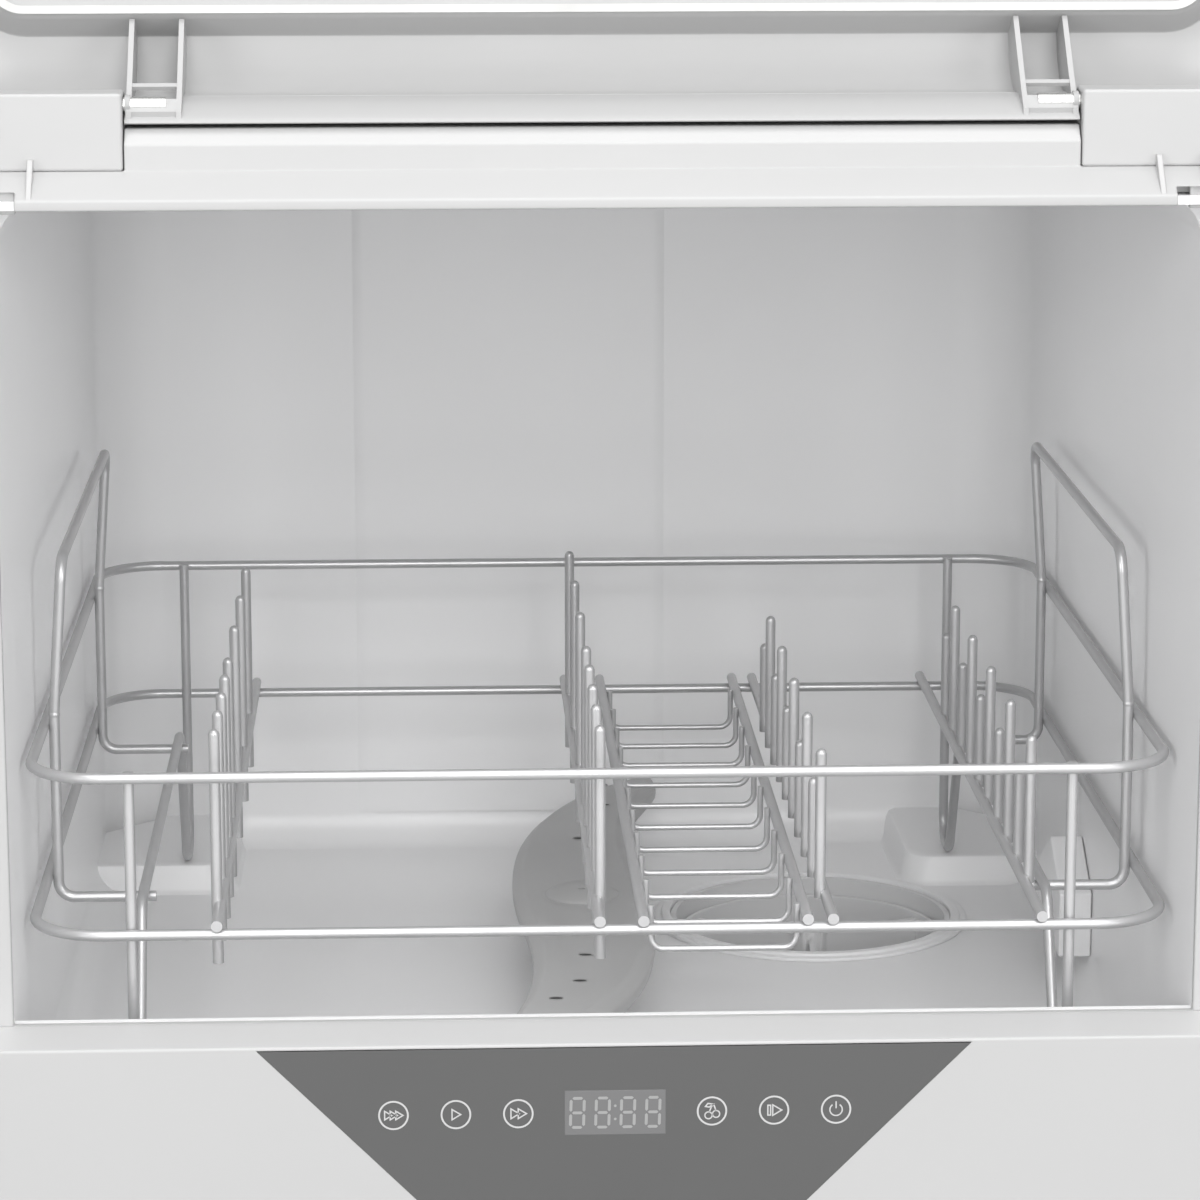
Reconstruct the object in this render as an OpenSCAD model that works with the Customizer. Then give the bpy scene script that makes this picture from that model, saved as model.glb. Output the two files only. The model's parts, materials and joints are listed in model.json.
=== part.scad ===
// Countertop dishwasher with a top-hinged door, shown open, and a lift-out wire rack.
// X runs to the right, Y to the back, Z up. The origin is on the table, under the middle.

/* [Cabinet] */
// Outside width of the cabinet
body_w = 418; // [414:1:440]
// Outside depth of the cabinet with the door shut
body_d = 438; // [436:1:470]
// Thickness of the outer plastic panels
panel_t = 2.5; // [2:0.25:3]
// Height of the rubber feet
foot_h = 10; // [8:1:16]
// Diameter of a rubber foot
foot_d = 28; // [20:1:36]
// Height of the tub's floor above the table
floor_z = 110; // [108:1:130]
// Radius of the upright corners at the back
corner_r = 14; // [8:1:20]
// Radius of the soft outer edges
edge_r = 6; // [4:0.5:8]

/* [Tub] */
// Space between the tub's inside and the cabinet's outside, on each side
side_space = 36; // [35:0.5:39]
// Space between the tub's back wall and the cabinet's back
back_space = 32; // [28:0.5:36]
// Wall thickness of the tub
tub_t = 2.5; // [2:0.25:3]
// Radius of the tub's upright back corners
tub_r = 26; // [14:1:34]
// Height of the rim under the mouth, above the tub's floor
rim_h = 50; // [46:1:56]
// Height of the mouth
mouth_h = 238; // [230:1:240]
// Height of the four pads that the rack stands on
pad_h = 11; // [8:0.5:14]

/* [Door] */
// Depth of the door, from its outer face to the front frame
door_d = 23; // [22:0.5:26]
// How far past upright the open door leans back, in degrees
door_lean = 5; // [2:1:8]
// Height of the raised field of the door's lining
field_h = 10.2; // [8:0.2:10.6]
// Radius of the door's hinge tube
barrel_r = 4; // [3.6:0.1:4.4]
// Radius of the hinge pins
pin_r = 2.3; // [1.8:0.1:2.6]
// Width of the finger grip in the door's lower edge
grip_w = 120; // [80:5:200]

/* [Rack] */
// Free space between the rack and each side of the tub
rack_gap = 3; // [2.5:0.5:6]
// Space between the rack's front wire and the tub's front wall
rack_front = 18.5; // [14:0.5:24]
// Space between the rack's back wire and the tub's back wall
rack_back = 47; // [40:0.5:52]
// Radius of the rack's corners
rack_r = 22; // [16:1:30]
// Diameter of the rack's wires
wire_d = 3.4; // [3:0.1:4]
// Height of the lower ring above the tub's floor
ring_low = 70; // [66:1:76]
// Height of the upper ring above the lower one
ring_rise = 48; // [40:1:56]
// Height of the handles above the upper ring
handle_h = 53; // [40:1:60]
// Length of the pins in the two long plate rows
long_pin = 71; // [60:1:76]
// Height of the tall pins of the two short plate rows, above their wire
tall_pin = 44; // [36:1:50]
// Height of the low pins of the two short plate rows, above their wire
low_pin = 29; // [20:1:34]
// Diameter of the cutlery tray's cross wires
tray_wire_d = 2; // [1.8:0.1:2.6]
// Width of the cutlery tray
tray_w = 49; // [44:1:50]
// Number of the cutlery tray's cross wires
tray_wires = 11; // [7:1:12]

/* [Spray arm] */
// Length of the spray arm from its middle to a tip
arm_len = 160; // [130:1:162]
// Width of the spray arm at its middle
arm_w = 42; // [36:1:50]
// Thickness of the spray arm's blade
arm_t = 9; // [7:0.5:11]
// Height of the blade's underside above the tub's floor
arm_rise = 24; // [20:1:26]
// Radius of the fixed post that feeds the arm
post_r = 9; // [7:0.5:10]

/* [Sump and filter] */
// Outer radius of the ring around the filter
ring_r = 56; // [54:1:60]
// Radius of the filter cup
cup_r = 47; // [40:1:49]
// Depth of the filter cup
cup_h = 34; // [24:1:38]
// Depth of the sump under the tub's floor
sump_h = 46; // [42:1:50]

/* [Control panel] */
// Width of the grey panel along its upper edge
panel_top_w = 208; // [190:1:230]
// Height of the grey panel
panel_h = 44.5; // [40:0.5:50]
// Width of the display window
display_w = 29.5; // [24:0.5:40]
// Height of the display window
display_h = 13.7; // [10:0.1:18]

/* [Hidden] */
$fn = 48;

tiny = 0.01;      // how far a cut runs past the face that it opens
gap = 0.3;        // clearance between pieces that lie against each other
run_gap = 0.08;   // radial clearance of a turning pin
thin = 0.08;      // how much thinner a wire's straight stretches are than its bends
lap = 0.4;        // how far a straight stretch runs into the bend after it
hx = body_w / 2;
hy = body_d / 2;
inner_x = hx - panel_t;              // inner faces of the side panels
mouth_y = -hy + door_d;              // front face of the front frame
frame_t = 3;                         // thickness of the front frame
tub_front = mouth_y + frame_t;       // where the tub begins, behind the frame
tub_hx = hx - side_space;
tub_wall_y = tub_front + tub_t;      // inner face of the tub's low front wall
tub_back = hy - back_space;          // inner face of its back wall
rim_z = floor_z + rim_h;
mouth_z = rim_z + mouth_h;           // upper edge of the mouth
tub_top = mouth_z;                   // the tub's ceiling lies level with it
strip_z = mouth_z + 10;              // top of the sloped strip over the mouth
axis_y = mouth_y + 18;               // hinge axis of the door
axis_z = mouth_z + 28;
top_z = axis_z + 4;                  // top of the cabinet
block_y = mouth_y + 11;              // front of the hinge blocks
block_d = 13.7;
block_x = hx - 73;                   // inner faces of the hinge blocks
pan_z = foot_h;                      // underside of the base pan
pan_t = 2.5;
pan_top = pan_z + pan_t;
under_tub = floor_z - tub_t;
gutter_z = top_z - 18;               // floor of the channel behind the hinge
step_y = axis_y + 44;                // front of the raised top cover
side_top = top_z - 22;               // top edge of the side panels
door_swing = 180 + door_lean;

arm_y = (tub_wall_y + tub_back) / 2 - 3.25;   // the arm turns about X = 0 here
sump_x = tub_hx - 88;
sump_y = arm_y + 82;
sump_r = 50;
bay_z0 = foot_h + 26;                // pocket for the connections in the back
bay_z1 = foot_h + 76;
bay_x = hx - 25;
bay_depth = 20;
pipe_z = foot_h + 56;                // height of the connections and of the drain pump

// ---------- shapes that repeat ----------

// Flat rectangle with four round corners, centred
module round_rect(w, d, r) {
    square([w, d - 2 * r], center = true);
    square([w - 2 * r, d], center = true);
    for (x = [-1, 1], y = [-1, 1]) translate([x * (w / 2 - r), y * (d / 2 - r)]) circle(r);
}

// Block given by its lowest and its highest corner
module block(low, high) {
    translate(low) cube(high - low);
}

// Straight round rod from one point to another
module rod(a, b, d) {
    v = b - a;
    len_v = norm(v);
    translate(a) rotate([0, acos(v[2] / len_v), atan2(v[1], v[0])]) cylinder(h = len_v, d = d);
}

function unit(v) = v / norm(v);
function turn(pts, i) =
    let (n = len(pts), a = unit(pts[i] - pts[(i + n - 1) % n]), b = unit(pts[(i + 1) % n] - pts[i]))
    acos(max(-1, min(1, a * b)));
function trim(pts, i, r) = r * tan(turn(pts, i) / 2);

// One rounded corner of a bent wire or hose
module wire_corner(pts, i, d, r, bore) {
    n = len(pts);
    a = unit(pts[i] - pts[(i + n - 1) % n]);
    b = unit(pts[(i + 1) % n] - pts[i]);
    side = a[0] * b[1] - a[1] * b[0] > 0 ? 1 : -1;
    sweep = turn(pts, i);
    centre = pts[i] - a * trim(pts, i, r) + side * r * [-a[1], a[0]];
    start = atan2(-side * a[0], side * a[1]);
    translate(centre) rotate(side > 0 ? start : start - sweep)
        rotate_extrude(angle = sweep) translate([r, 0]) difference() {
            circle(d = d);
            if (bore > 0) circle(d = bore);
        }
}

// Wire or hose bent along a flat path, each corner rounded to radius r
module bent_wire(pts, d, r, closed = false, bore = 0) {
    n = len(pts);
    last = closed ? n - 1 : n - 2;
    for (i = [0 : last]) {
        j = (i + 1) % n;
        u = unit(pts[j] - pts[i]);
        a = pts[i] + u * (closed || i > 0 ? trim(pts, i, r) - lap : 0);
        b = pts[j] - u * (closed || i < n - 2 ? trim(pts, j, r) - lap : 0);
        difference() {
            rod([a[0], a[1], 0], [b[0], b[1], 0], d - thin);
            if (bore > 0) rod([a[0] - u[0], a[1] - u[1], 0], [b[0] + u[0], b[1] + u[1], 0], bore + thin);
        }
    }
    for (i = [(closed ? 0 : 1) : last]) wire_corner(pts, i, d, r, bore);
}

// Puts a shape drawn in the X-Y plane into the plane X = x, its axes along Y and Z
module in_yz(x) {
    translate([x, 0, 0]) rotate([90, 0, 90]) children();
}

// Puts a shape drawn in the X-Y plane into the plane Y = y, its axes along X and Z
module in_xz(y) {
    translate([0, y, 0]) rotate([90, 0, 0]) children();
}

module mirror_x() {
    children();
    mirror([1, 0, 0]) children();
}

// ---------- cabinet ----------

module base_pan() color("dimgray") {
    pan_x = inner_x - gap;
    pan_y0 = mouth_y + 1;
    pan_y1 = hy - bay_depth - 2 * panel_t - gap;
    lip = 14;
    difference() {
        block([-pan_x, pan_y0, pan_z], [pan_x, pan_y1, pan_top + lip]);
        block([-pan_x + pan_t, pan_y0 + pan_t, pan_top], [pan_x - pan_t, pan_y1 - pan_t, pan_top + lip + 1]);
        for (x = [-1, 1] * foot_x, y = foot_ys) translate([x, y, pan_z - 1]) cylinder(h = pan_t + 2, r = 3.1);
    }
    // Posts that carry the tub
    for (i = [-1, 1], p = [[tub_hx - 20, tub_front + 30], [80, tub_back - 22]])
        translate([i * p[0], p[1], pan_top - tiny]) cylinder(h = under_tub - pan_top + tiny, r = 8);
}

foot_x = hx - 30;
foot_ys = [mouth_y + 34, hy - bay_depth - 34];

module feet() color("black") {
    for (x = [-1, 1] * foot_x, y = foot_ys) translate([x, y, 0]) {
        difference() {
            cylinder(h = foot_h, r = foot_d / 2);
            translate([0, 0, -1]) cylinder(h = 3.5, r = foot_d / 2 - 5);
        }
        cylinder(h = foot_h + pan_t + 1.5, r = 3);
    }
}

// Left panel with its return around the back corner, seen from above
module side_outline() {
    difference() {
        union() {
            translate([-hx, mouth_y + gap]) square([corner_r, hy - corner_r - mouth_y - gap]);
            translate([-hx + corner_r, hy - corner_r]) circle(corner_r);
            translate([-hx + corner_r, hy - corner_r]) square([8, corner_r]);
        }
        translate([-inner_x, mouth_y - 1]) square([2 * corner_r, hy - corner_r - mouth_y + 1]);
        translate([-hx + corner_r, hy - corner_r]) circle(corner_r - panel_t);
        translate([-hx + corner_r - tiny, hy - corner_r - tiny])
            square([corner_r + 1, corner_r - panel_t + tiny]);
    }
}

module side_panel() {
    difference() {
        translate([0, 0, pan_z]) linear_extrude(side_top - pan_z - gap) side_outline();
        // Air slots low in the side, next to the pumps
        for (y = [-70 : 22 : 40]) block([-hx - 1, y, pan_z + 26], [-inner_x + 1, y + 6, pan_z + 66]);
    }
    // Tab behind the rear panel's edge, which the screws go into
    tab_y = hy - 0.5 - 2 * panel_t - gap;
    difference() {
        union() {
            block([-hx + corner_r, tab_y, bay_z1 + 8], [-screw_x + 9, tab_y + panel_t, side_top - 4]);
            block([-hx + corner_r, tab_y, bay_z1 + 8], [-hx + corner_r + 7, hy - 1, side_top - 4]);
        }
        for (z = screw_zs) translate([-screw_x, tab_y - 1, z]) rotate([-90, 0, 0])
            cylinder(h = panel_t + 2, r = 2.1);
    }
}

module side_panel_left() color("white") side_panel();
module side_panel_right() color("white") mirror([1, 0, 0]) side_panel();

module rear_panel() color("white") {
    edge_x = hx - corner_r - 8 - gap;
    y0 = hy - panel_t - 0.5;
    difference() {
        union() {
            block([-edge_x, y0, pan_z], [edge_x, y0 + panel_t, side_top - gap]);
            block([-bay_x - panel_t, hy - bay_depth - 2 * panel_t, bay_z0 - panel_t],
                [bay_x + panel_t, y0 + tiny, bay_z1 + panel_t]);
            // Flanges that the side panels' returns lie against
            for (x1 = [edge_x - 1, edge_x + 6], y1 = x1 > edge_x ? [y0 - gap] : [y0 + tiny]) mirror_x()
                block([edge_x - 6, y0 - panel_t, pan_z], [x1, y1, bay_z0 - panel_t - 2]);
        }
        block([-bay_x, hy - bay_depth - panel_t, bay_z0], [bay_x, hy + 1, bay_z1]);
        for (x = [inlet_x, drain_x, power_x]) translate([x, hy, pipe_z]) rotate([90, 0, 0])
            cylinder(h = bay_depth + 3 * panel_t, r = bore_at(x));
        // Vent slots near the top
        for (i = [-6 : 6]) block([i * 14 - 4, y0 - 1, side_top - 60], [i * 14 + 4, y0 + 4, side_top - 26]);
        for (p = screw_places) translate([p[0], y0 - 1, p[1]]) rotate([-90, 0, 0]) cylinder(h = 5, r = 2.1);
    }
}

inlet_x = 33 - tub_hx;
drain_x = sump_x + 66;
power_x = -60;
inlet_r = 13.2;
drain_r = 9;
gland_r = 8;
function bore_at(x) = (x == inlet_x ? inlet_r : x == drain_x ? drain_r : gland_r) + gap;
screw_x = hx - corner_r - 20;
screw_zs = [bay_z1 + 20, floor_z + 120, side_top - 14];
screw_places = [for (x = [-screw_x, screw_x], z = screw_zs) [x, z]];

module screws() color("silver") {
    y0 = hy - 0.5;
    for (p = screw_places) translate([p[0], y0, p[1]]) rotate([90, 0, 0]) difference() {
        union() {
            cylinder(h = 12, r = 2);
            translate([0, 0, -0.5]) cylinder(h = 0.5, r = 3.8);
        }
        translate([-2.6, -0.4, -1]) cube([5.2, 0.8, 0.8]);
        translate([-0.4, -2.6, -1]) cube([0.8, 5.2, 0.8]);
    }
}

// Slab with round back corners and soft upper edges, its front at y0, its top at z1
module soft_slab(half_w, y0, y1, z0, z1, r_corner, r_edge) {
    y_mid = (y0 + y1) / 2;
    d = y1 - y0;
    module outline(inset) {
        difference() {
            translate([0, y_mid]) round_rect(2 * (half_w - inset), d - 2 * inset, r_corner - inset);
            translate([-half_w, y0 - 1]) square([2 * half_w, r_corner + 1]);
        }
        translate([-half_w + inset, y0 + inset]) square([2 * (half_w - inset), r_corner + 1]);
    }
    translate([0, 0, z0]) linear_extrude(z1 - z0 - r_edge) outline(0);
    translate([0, 0, z1 - r_edge - tiny]) linear_extrude(r_edge + tiny) outline(r_edge);
    ez = z1 - r_edge;
    mirror_x() {
        rod([half_w - r_edge, y0 + r_edge, ez], [half_w - r_edge, y1 - r_corner, ez], 2 * r_edge);
        translate([half_w - r_corner, y1 - r_corner, ez]) rotate_extrude(angle = 90)
            translate([r_corner - r_edge, 0]) circle(r_edge);
        translate([half_w - r_edge, y0 + r_edge, ez]) sphere(r_edge);
    }
    rod([-half_w + r_edge, y0 + r_edge, ez], [half_w - r_edge, y0 + r_edge, ez], 2 * r_edge);
    rod([-half_w + r_corner, y1 - r_edge, ez], [half_w - r_corner, y1 - r_edge, ez], 2 * r_edge);
}

module top_cover() color("white") {
    z0 = side_top;
    difference() {
        soft_slab(hx, step_y, hy, z0, top_z, corner_r, edge_r);
        translate([0, (step_y + hy) / 2, z0 - 1])
            linear_extrude(top_z - z0 - edge_r + 1)
                round_rect(2 * inner_x, hy - step_y - 2 * panel_t, corner_r - panel_t);
        translate([0, (step_y + hy) / 2, z0 - 1])
            linear_extrude(top_z - z0 - panel_t + 1)
                round_rect(2 * (hx - edge_r), hy - step_y - 2 * edge_r, corner_r - edge_r);
    }
    // Channel behind the hinge, which the open door stands in
    block([-hx, block_y + block_d + gap, gutter_z - panel_t], [hx, step_y + panel_t - tiny, gutter_z]);
    mirror_x() block([inner_x, block_y + block_d + gap, side_top], [hx, step_y + 2, gutter_z - 1]);
}

// ---------- front ----------

module front_frame() color("white") {
    out_x = inner_x - gap;
    over_tub = tub_top + tub_t + gap;
    difference() {
        union() {
            block([-out_x, mouth_y, floor_z - 4], [out_x, mouth_y + frame_t, strip_z]);
            // Beam over the mouth: land, sloped strip, riser and the ledge under the hinge
            in_yz(-out_x) linear_extrude(2 * out_x) polygon([
                [mouth_y, mouth_z], [mouth_y, mouth_z + 3], [block_y, strip_z], [block_y + block_d, strip_z],
                [block_y + block_d, over_tub], [tub_front, over_tub], [tub_front, mouth_z]]);
            in_yz(-block_x + gap) linear_extrude(2 * block_x - 2 * gap) polygon([
                [block_y, strip_z - 2], [block_y, strip_z + 7.5], [block_y + 4, axis_z - barrel_r - 2.2],
                [block_y + block_d, axis_z - barrel_r - 2.2], [block_y + block_d, strip_z - 2]]);
        }
        block([-tub_hx, mouth_y - 1, rim_z], [tub_hx, mouth_y + frame_t + 1, mouth_z]);
        // The sloped face of the strip
        in_yz(-hx) linear_extrude(2 * hx) polygon([
            [mouth_y - 1, mouth_z + 3], [mouth_y, mouth_z + 3], [block_y, strip_z], [block_y, strip_z + 1],
            [mouth_y - 1, strip_z + 1]]);
        // Small notches in both ends of the strip's lower edge
        for (x = [-tub_hx + 3, tub_hx - 7]) block([x - 4, mouth_y - 1, mouth_z - 1],
            [x + 4, mouth_y + frame_t + 5, mouth_z + 5]);
        for (x = [-1, 1] * magnet_x) translate([x, mouth_y - 1, magnet_z]) rotate([-90, 0, 0])
            cylinder(h = 2.5, r = magnet_r + gap);
    }
}

magnet_x = tub_hx + 18;
magnet_z = rim_z + 24;
magnet_r = 7;

module catch_plates() color("silver") {
    for (x = [-1, 1] * magnet_x) translate([x, mouth_y, magnet_z]) rotate([-90, 0, 0])
        cylinder(h = 1.5, r = magnet_r);
}

module hinge_block() {
    difference() {
        block([-hx, block_y, strip_z], [-block_x, block_y + block_d, top_z]);
        translate([-block_x - 14, axis_y, axis_z]) rotate([0, 90, 0]) cylinder(h = 15, r = pin_r);
        // Hollow behind, open to the back
        block([-hx + 4, block_y + 3, strip_z + 3], [-block_x - 18, block_y + block_d + 1, top_z - 3]);
    }
}

module hinge_block_left() color("whitesmoke") hinge_block();
module hinge_block_right() color("whitesmoke") mirror([1, 0, 0]) hinge_block();

pin_in = 12;  // how far a pin reaches into the door's hinge tube
module hinge_pins() color("silver") {
    mirror_x() translate([-block_x - 14, axis_y, axis_z]) rotate([0, 90, 0])
        cylinder(h = 14 + pin_in, r = pin_r);
}

fascia_z0 = pan_z + 2;
panel_x = 1.5;                       // the grey panel and its keys sit this far right of the middle
panel_t2 = 1.2;
fascia_t = 3;

// Front outline of the grey panel, hanging from the fascia's upper edge
module panel_outline(grow = 0) {
    half = panel_top_w / 2 + grow;
    drop = panel_h + grow;
    translate([panel_x, rim_z - 0.6]) polygon([
        [-half, 0], [half, 0], [half - drop, -drop], [-half + drop, -drop]]);
}

module fascia() color("white") {
    difference() {
        block([-hx, -hy, fascia_z0], [hx, mouth_y - gap, rim_z]);
        block([-inner_x, -hy + fascia_t, fascia_z0 - 1], [inner_x, mouth_y + 1, rim_z - panel_t]);
        in_xz(-hy + panel_t2) linear_extrude(panel_t2 + 1) panel_outline();
        in_xz(-hy + fascia_t + 1) linear_extrude(fascia_t + 2) translate([panel_x, display_z])
            square([display_w - 3, display_h - 3], center = true);
    }
    for (x = [-90, 90], z = [rim_z - 32, rim_z - 14]) translate([panel_x + x, board_y + tiny, z])
        rotate([90, 0, 0]) cylinder(h = board_y + hy - fascia_t + 2 * tiny, r = 3);
}

display_z = rim_z - 21;
board_y = -hy + fascia_t + 6;

module control_panel() color("gray") {
    difference() {
        in_xz(-hy + panel_t2) linear_extrude(panel_t2) panel_outline(-gap);
        in_xz(-hy + panel_t2 + 1) linear_extrude(panel_t2 + 2) translate([panel_x, display_z])
            square([display_w, display_h], center = true);
    }
}

module display_window() color([0.75, 0.76, 0.78, 0.6]) {
    in_xz(-hy + panel_t2) linear_extrude(panel_t2) translate([panel_x, display_z])
        square([display_w - gap, display_h - gap], center = true);
}

module control_board() color("seagreen") {
    block([panel_x - 98, board_y, rim_z - 40], [panel_x + 98, board_y + 1.6, rim_z - 6]);
    block([panel_x - 13, board_y - 3.5, display_z - 5], [panel_x + 13, board_y + tiny, display_z + 5]);
    for (i = [-1, 1], k = [28, 46, 64]) translate([panel_x + i * k, board_y - 3, display_z])
        rotate([-90, 0, 0]) cylinder(h = 3 + tiny, r = 3.4);
    for (x = [-60, -20, 40]) block([panel_x + x, board_y + 1.6 - tiny, rim_z - 34],
        [panel_x + x + 16, board_y + 6, rim_z - 22]);
}

module power_board() color("darkgreen") {
    x0 = -hx + 26;
    y0 = tub_front + 52;
    block([x0, y0, pan_top + 6], [x0 + 80, y0 + 70, pan_top + 7.6]);
    for (x = [6, 74], y = [6, 64]) translate([x0 + x, y0 + y, pan_top]) cylinder(h = 6 + tiny, r = 3);
    block([x0 + 10, y0 + 12, pan_top + 7.6 - tiny], [x0 + 38, y0 + 40, pan_top + 30]);
    block([x0 + 46, y0 + 14, pan_top + 7.6 - tiny], [x0 + 66, y0 + 30, pan_top + 24]);
    translate([x0 + 56, y0 + 50, pan_top + 7.6 - tiny]) cylinder(h = 26, r = 9);
}

// ---------- tub ----------

// The tub's inside seen from above: square at the front, round at the back
module tub_outline(grow) {
    w = 2 * (tub_hx + grow);
    y0 = tub_wall_y - grow;
    y1 = tub_back + grow;
    r = tub_r + grow;
    difference() {
        translate([-w / 2, y0]) square([w, y1 - y0]);
        for (i = [-1, 1]) translate([i * w / 2, y1]) difference() {
            square(2 * r, center = true);
            translate([-i * r, -r]) circle(r);
        }
    }
}

// A low pad in a corner of the tub's floor
pad_in = 50;
module pad(side, y0, y1) {
    x0 = tub_hx - pad_in;
    x1 = tub_hx + tiny;
    intersection() {
        translate([0, 0, floor_z - tiny]) linear_extrude(pad_h + tiny) mirror([side < 0 ? 1 : 0, 0, 0]) {
            translate([x0 + 8, y0]) square([x1 - x0 - 8, y1 - y0]);
            translate([x0, y0 + 8]) square([x1 - x0, y1 - y0 - 16]);
            for (y = [y0 + 8, y1 - 8]) translate([x0 + 8, y]) circle(8);
        }
        translate([0, 0, floor_z - 1]) linear_extrude(pad_h + 2) tub_outline(0.1);
    }
}

vent_y = 15;
vent_z = floor_z + 26;
vent_r = 11;
feed_z = tub_top - 26;               // height of the water inlet in the back wall, above the sight line

module tub() color("gainsboro") {
    difference() {
        translate([0, 0, under_tub]) linear_extrude(tub_top - under_tub + tub_t) tub_outline(tub_t);
        translate([0, 0, floor_z]) linear_extrude(tub_top - floor_z) tub_outline(0);
        block([-tub_hx, tub_front - 1, rim_z], [tub_hx, tub_wall_y + 1, mouth_z]);
        translate([sump_x, sump_y, under_tub - 1]) cylinder(h = tub_t + 2, r = sump_r + gap);
        translate([0, arm_y, under_tub - 1]) cylinder(h = tub_t + 2, r = post_r + gap);
        translate([tub_hx - 1, vent_y, vent_z]) rotate([0, 90, 0]) cylinder(h = tub_t + 2, r = vent_r);
        translate([inlet_x, tub_back - 1, feed_z]) rotate([-90, 0, 0])
            cylinder(h = tub_t + 2, r = hose_r + gap);
    }
    // The two shallow upright steps in the back wall
    block([-76, tub_back - 1.5, floor_z + 1], [36, tub_back + tiny, tub_top - 1]);
    for (side = [-1, 1]) {
        pad(side, sump_y + 40, tub_back + 1);
        pad(side, tub_wall_y - 1, tub_wall_y + 48);
    }
}

module insulation() color("dimgray") {
    t = 5;
    y0 = tub_wall_y + 20;
    y1 = tub_back - tub_r - 10;
    block([-tub_hx - tub_t - t, y0, floor_z + 10], [-tub_hx - tub_t, y1, tub_top - 10]);
    block([tub_hx + tub_t, y0, fan_z + fan_r + 10], [tub_hx + tub_t + t, y1, tub_top - 10]);
    block([-tub_hx + 20, step_y + 12, tub_top + tub_t], [tub_hx - 20, y1, tub_top + tub_t + t]);
}

// ---------- water ----------

module sump() color("silver") {
    difference() {
        union() {
            translate([sump_x, sump_y, floor_z - sump_h]) cylinder(h = sump_h + 1, r = sump_r);
            translate([sump_x, sump_y, under_tub - 3]) cylinder(h = 3 - gap, r = sump_r + 5);
            translate([sump_x - sump_r - 12, sump_y, pump_z]) rotate([0, 90, 0]) cylinder(h = 20, r = 13);
            translate([sump_x + sump_r - 8, sump_y, pipe_z]) rotate([0, 90, 0]) cylinder(h = 16, r = 9);
        }
        translate([sump_x, sump_y, floor_z - sump_h + 2.5]) cylinder(h = sump_h, r = sump_r - 2);
        translate([sump_x - sump_r - 13, sump_y, pump_z]) rotate([0, 90, 0]) cylinder(h = 26, r = 11);
        translate([sump_x + sump_r - 8, sump_y, pipe_z]) rotate([0, 90, 0]) cylinder(h = 17, r = 7);
    }
}

module filter_ring() color("lightgray") {
    difference() {
        translate([sump_x, sump_y, floor_z]) union() {
            cylinder(h = 1.4, r = ring_r);
            cylinder(h = 2.4, r = ring_r - 2.5);
        }
        translate([sump_x, sump_y, floor_z - 1]) cylinder(h = 5, r = sump_r + gap);
    }
}

module filter_cup() color("darkgray") {
    wall = 1.6;
    z0 = floor_z - cup_h;
    translate([sump_x, sump_y, z0]) {
        difference() {
            cylinder(h = cup_h - 5, r = cup_r);
            translate([0, 0, 2]) cylinder(h = cup_h, r = cup_r - wall);
            for (ring = [1 : 4], i = [0 : 6 * ring - 1]) rotate(i * 60 / ring) translate([ring * 9, 0, -1])
                cylinder(h = 4, r = 2, $fn = 16);
        }
        // Ribs that part the cup and serve as its grip
        for (a = [28, 148, 268]) rotate(a) translate([0, -1.1, 1])
            cube([cup_r - wall + tiny, 2.2, cup_h - 8]);
        cylinder(h = cup_h - 4, r = 6);
    }
}

// Half of the arm's middle line: it first bends one way, then the tip sweeps the other way
function arm_bend(s) = arm_w * (0.58 * pow(s / 133, 3) - 0.28 * s / 133);
function arm_half(s) = arm_w / 2 * sqrt(1 - pow(s / arm_len, 4));
arm_steps = 24;
arm_side = [for (i = [0 : arm_steps])
    let (s = arm_len * 0.985 * sin(90 * i / arm_steps)) [arm_bend(s), s, arm_half(s)]];
arm_outline = concat(
    [for (p = arm_side) [p[0] + p[2], p[1]]],
    [for (i = [arm_steps : -1 : 1]) [arm_side[i][0] - arm_side[i][2], arm_side[i][1]]],
    [for (p = arm_side) [-p[0] - p[2], -p[1]]],
    [for (i = [arm_steps : -1 : 1]) [-arm_side[i][0] + arm_side[i][2], -arm_side[i][1]]]);

arm_z = floor_z + arm_rise;
hub_h = 7;                           // how far the hub stands out under the blade
module spray_arm() color("gray") {
    translate([0, arm_y, arm_z]) difference() {
        union() {
            linear_extrude(arm_t) polygon(arm_outline);
            translate([0, 0, -hub_h]) cylinder(h = hub_h + arm_t + 1.5, r = post_r + 6);
        }
        translate([0, 0, -hub_h - 1]) cylinder(h = hub_h + arm_t + 4, r = post_r - 2 + run_gap);
        // Nozzles: a slot in the top with a round feed under it
        for (i = [-1, 1], k = [1 : 4]) let (s = i * (k * 30 + 22), b = i * arm_bend(abs(s)))
            translate([b, s, arm_t / 2]) {
                cylinder(h = arm_t, r = 1.5, $fn = 24);
                translate([-2.5, -1, arm_t / 2 - 1.5]) cube([5, 2, 3]);
            }
    }
}

module arm_cap() color("gray") {
    translate([0, arm_y, arm_z + arm_t + 1.5 + gap]) difference() {
        union() {
            cylinder(h = 1.6, r = post_r + 4);
            cylinder(h = 4.5, r1 = post_r + 1, r2 = post_r - 1);
        }
        translate([0, 0, -1]) cylinder(h = 2.5, r = post_r - 2 + run_gap);
    }
}

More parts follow.
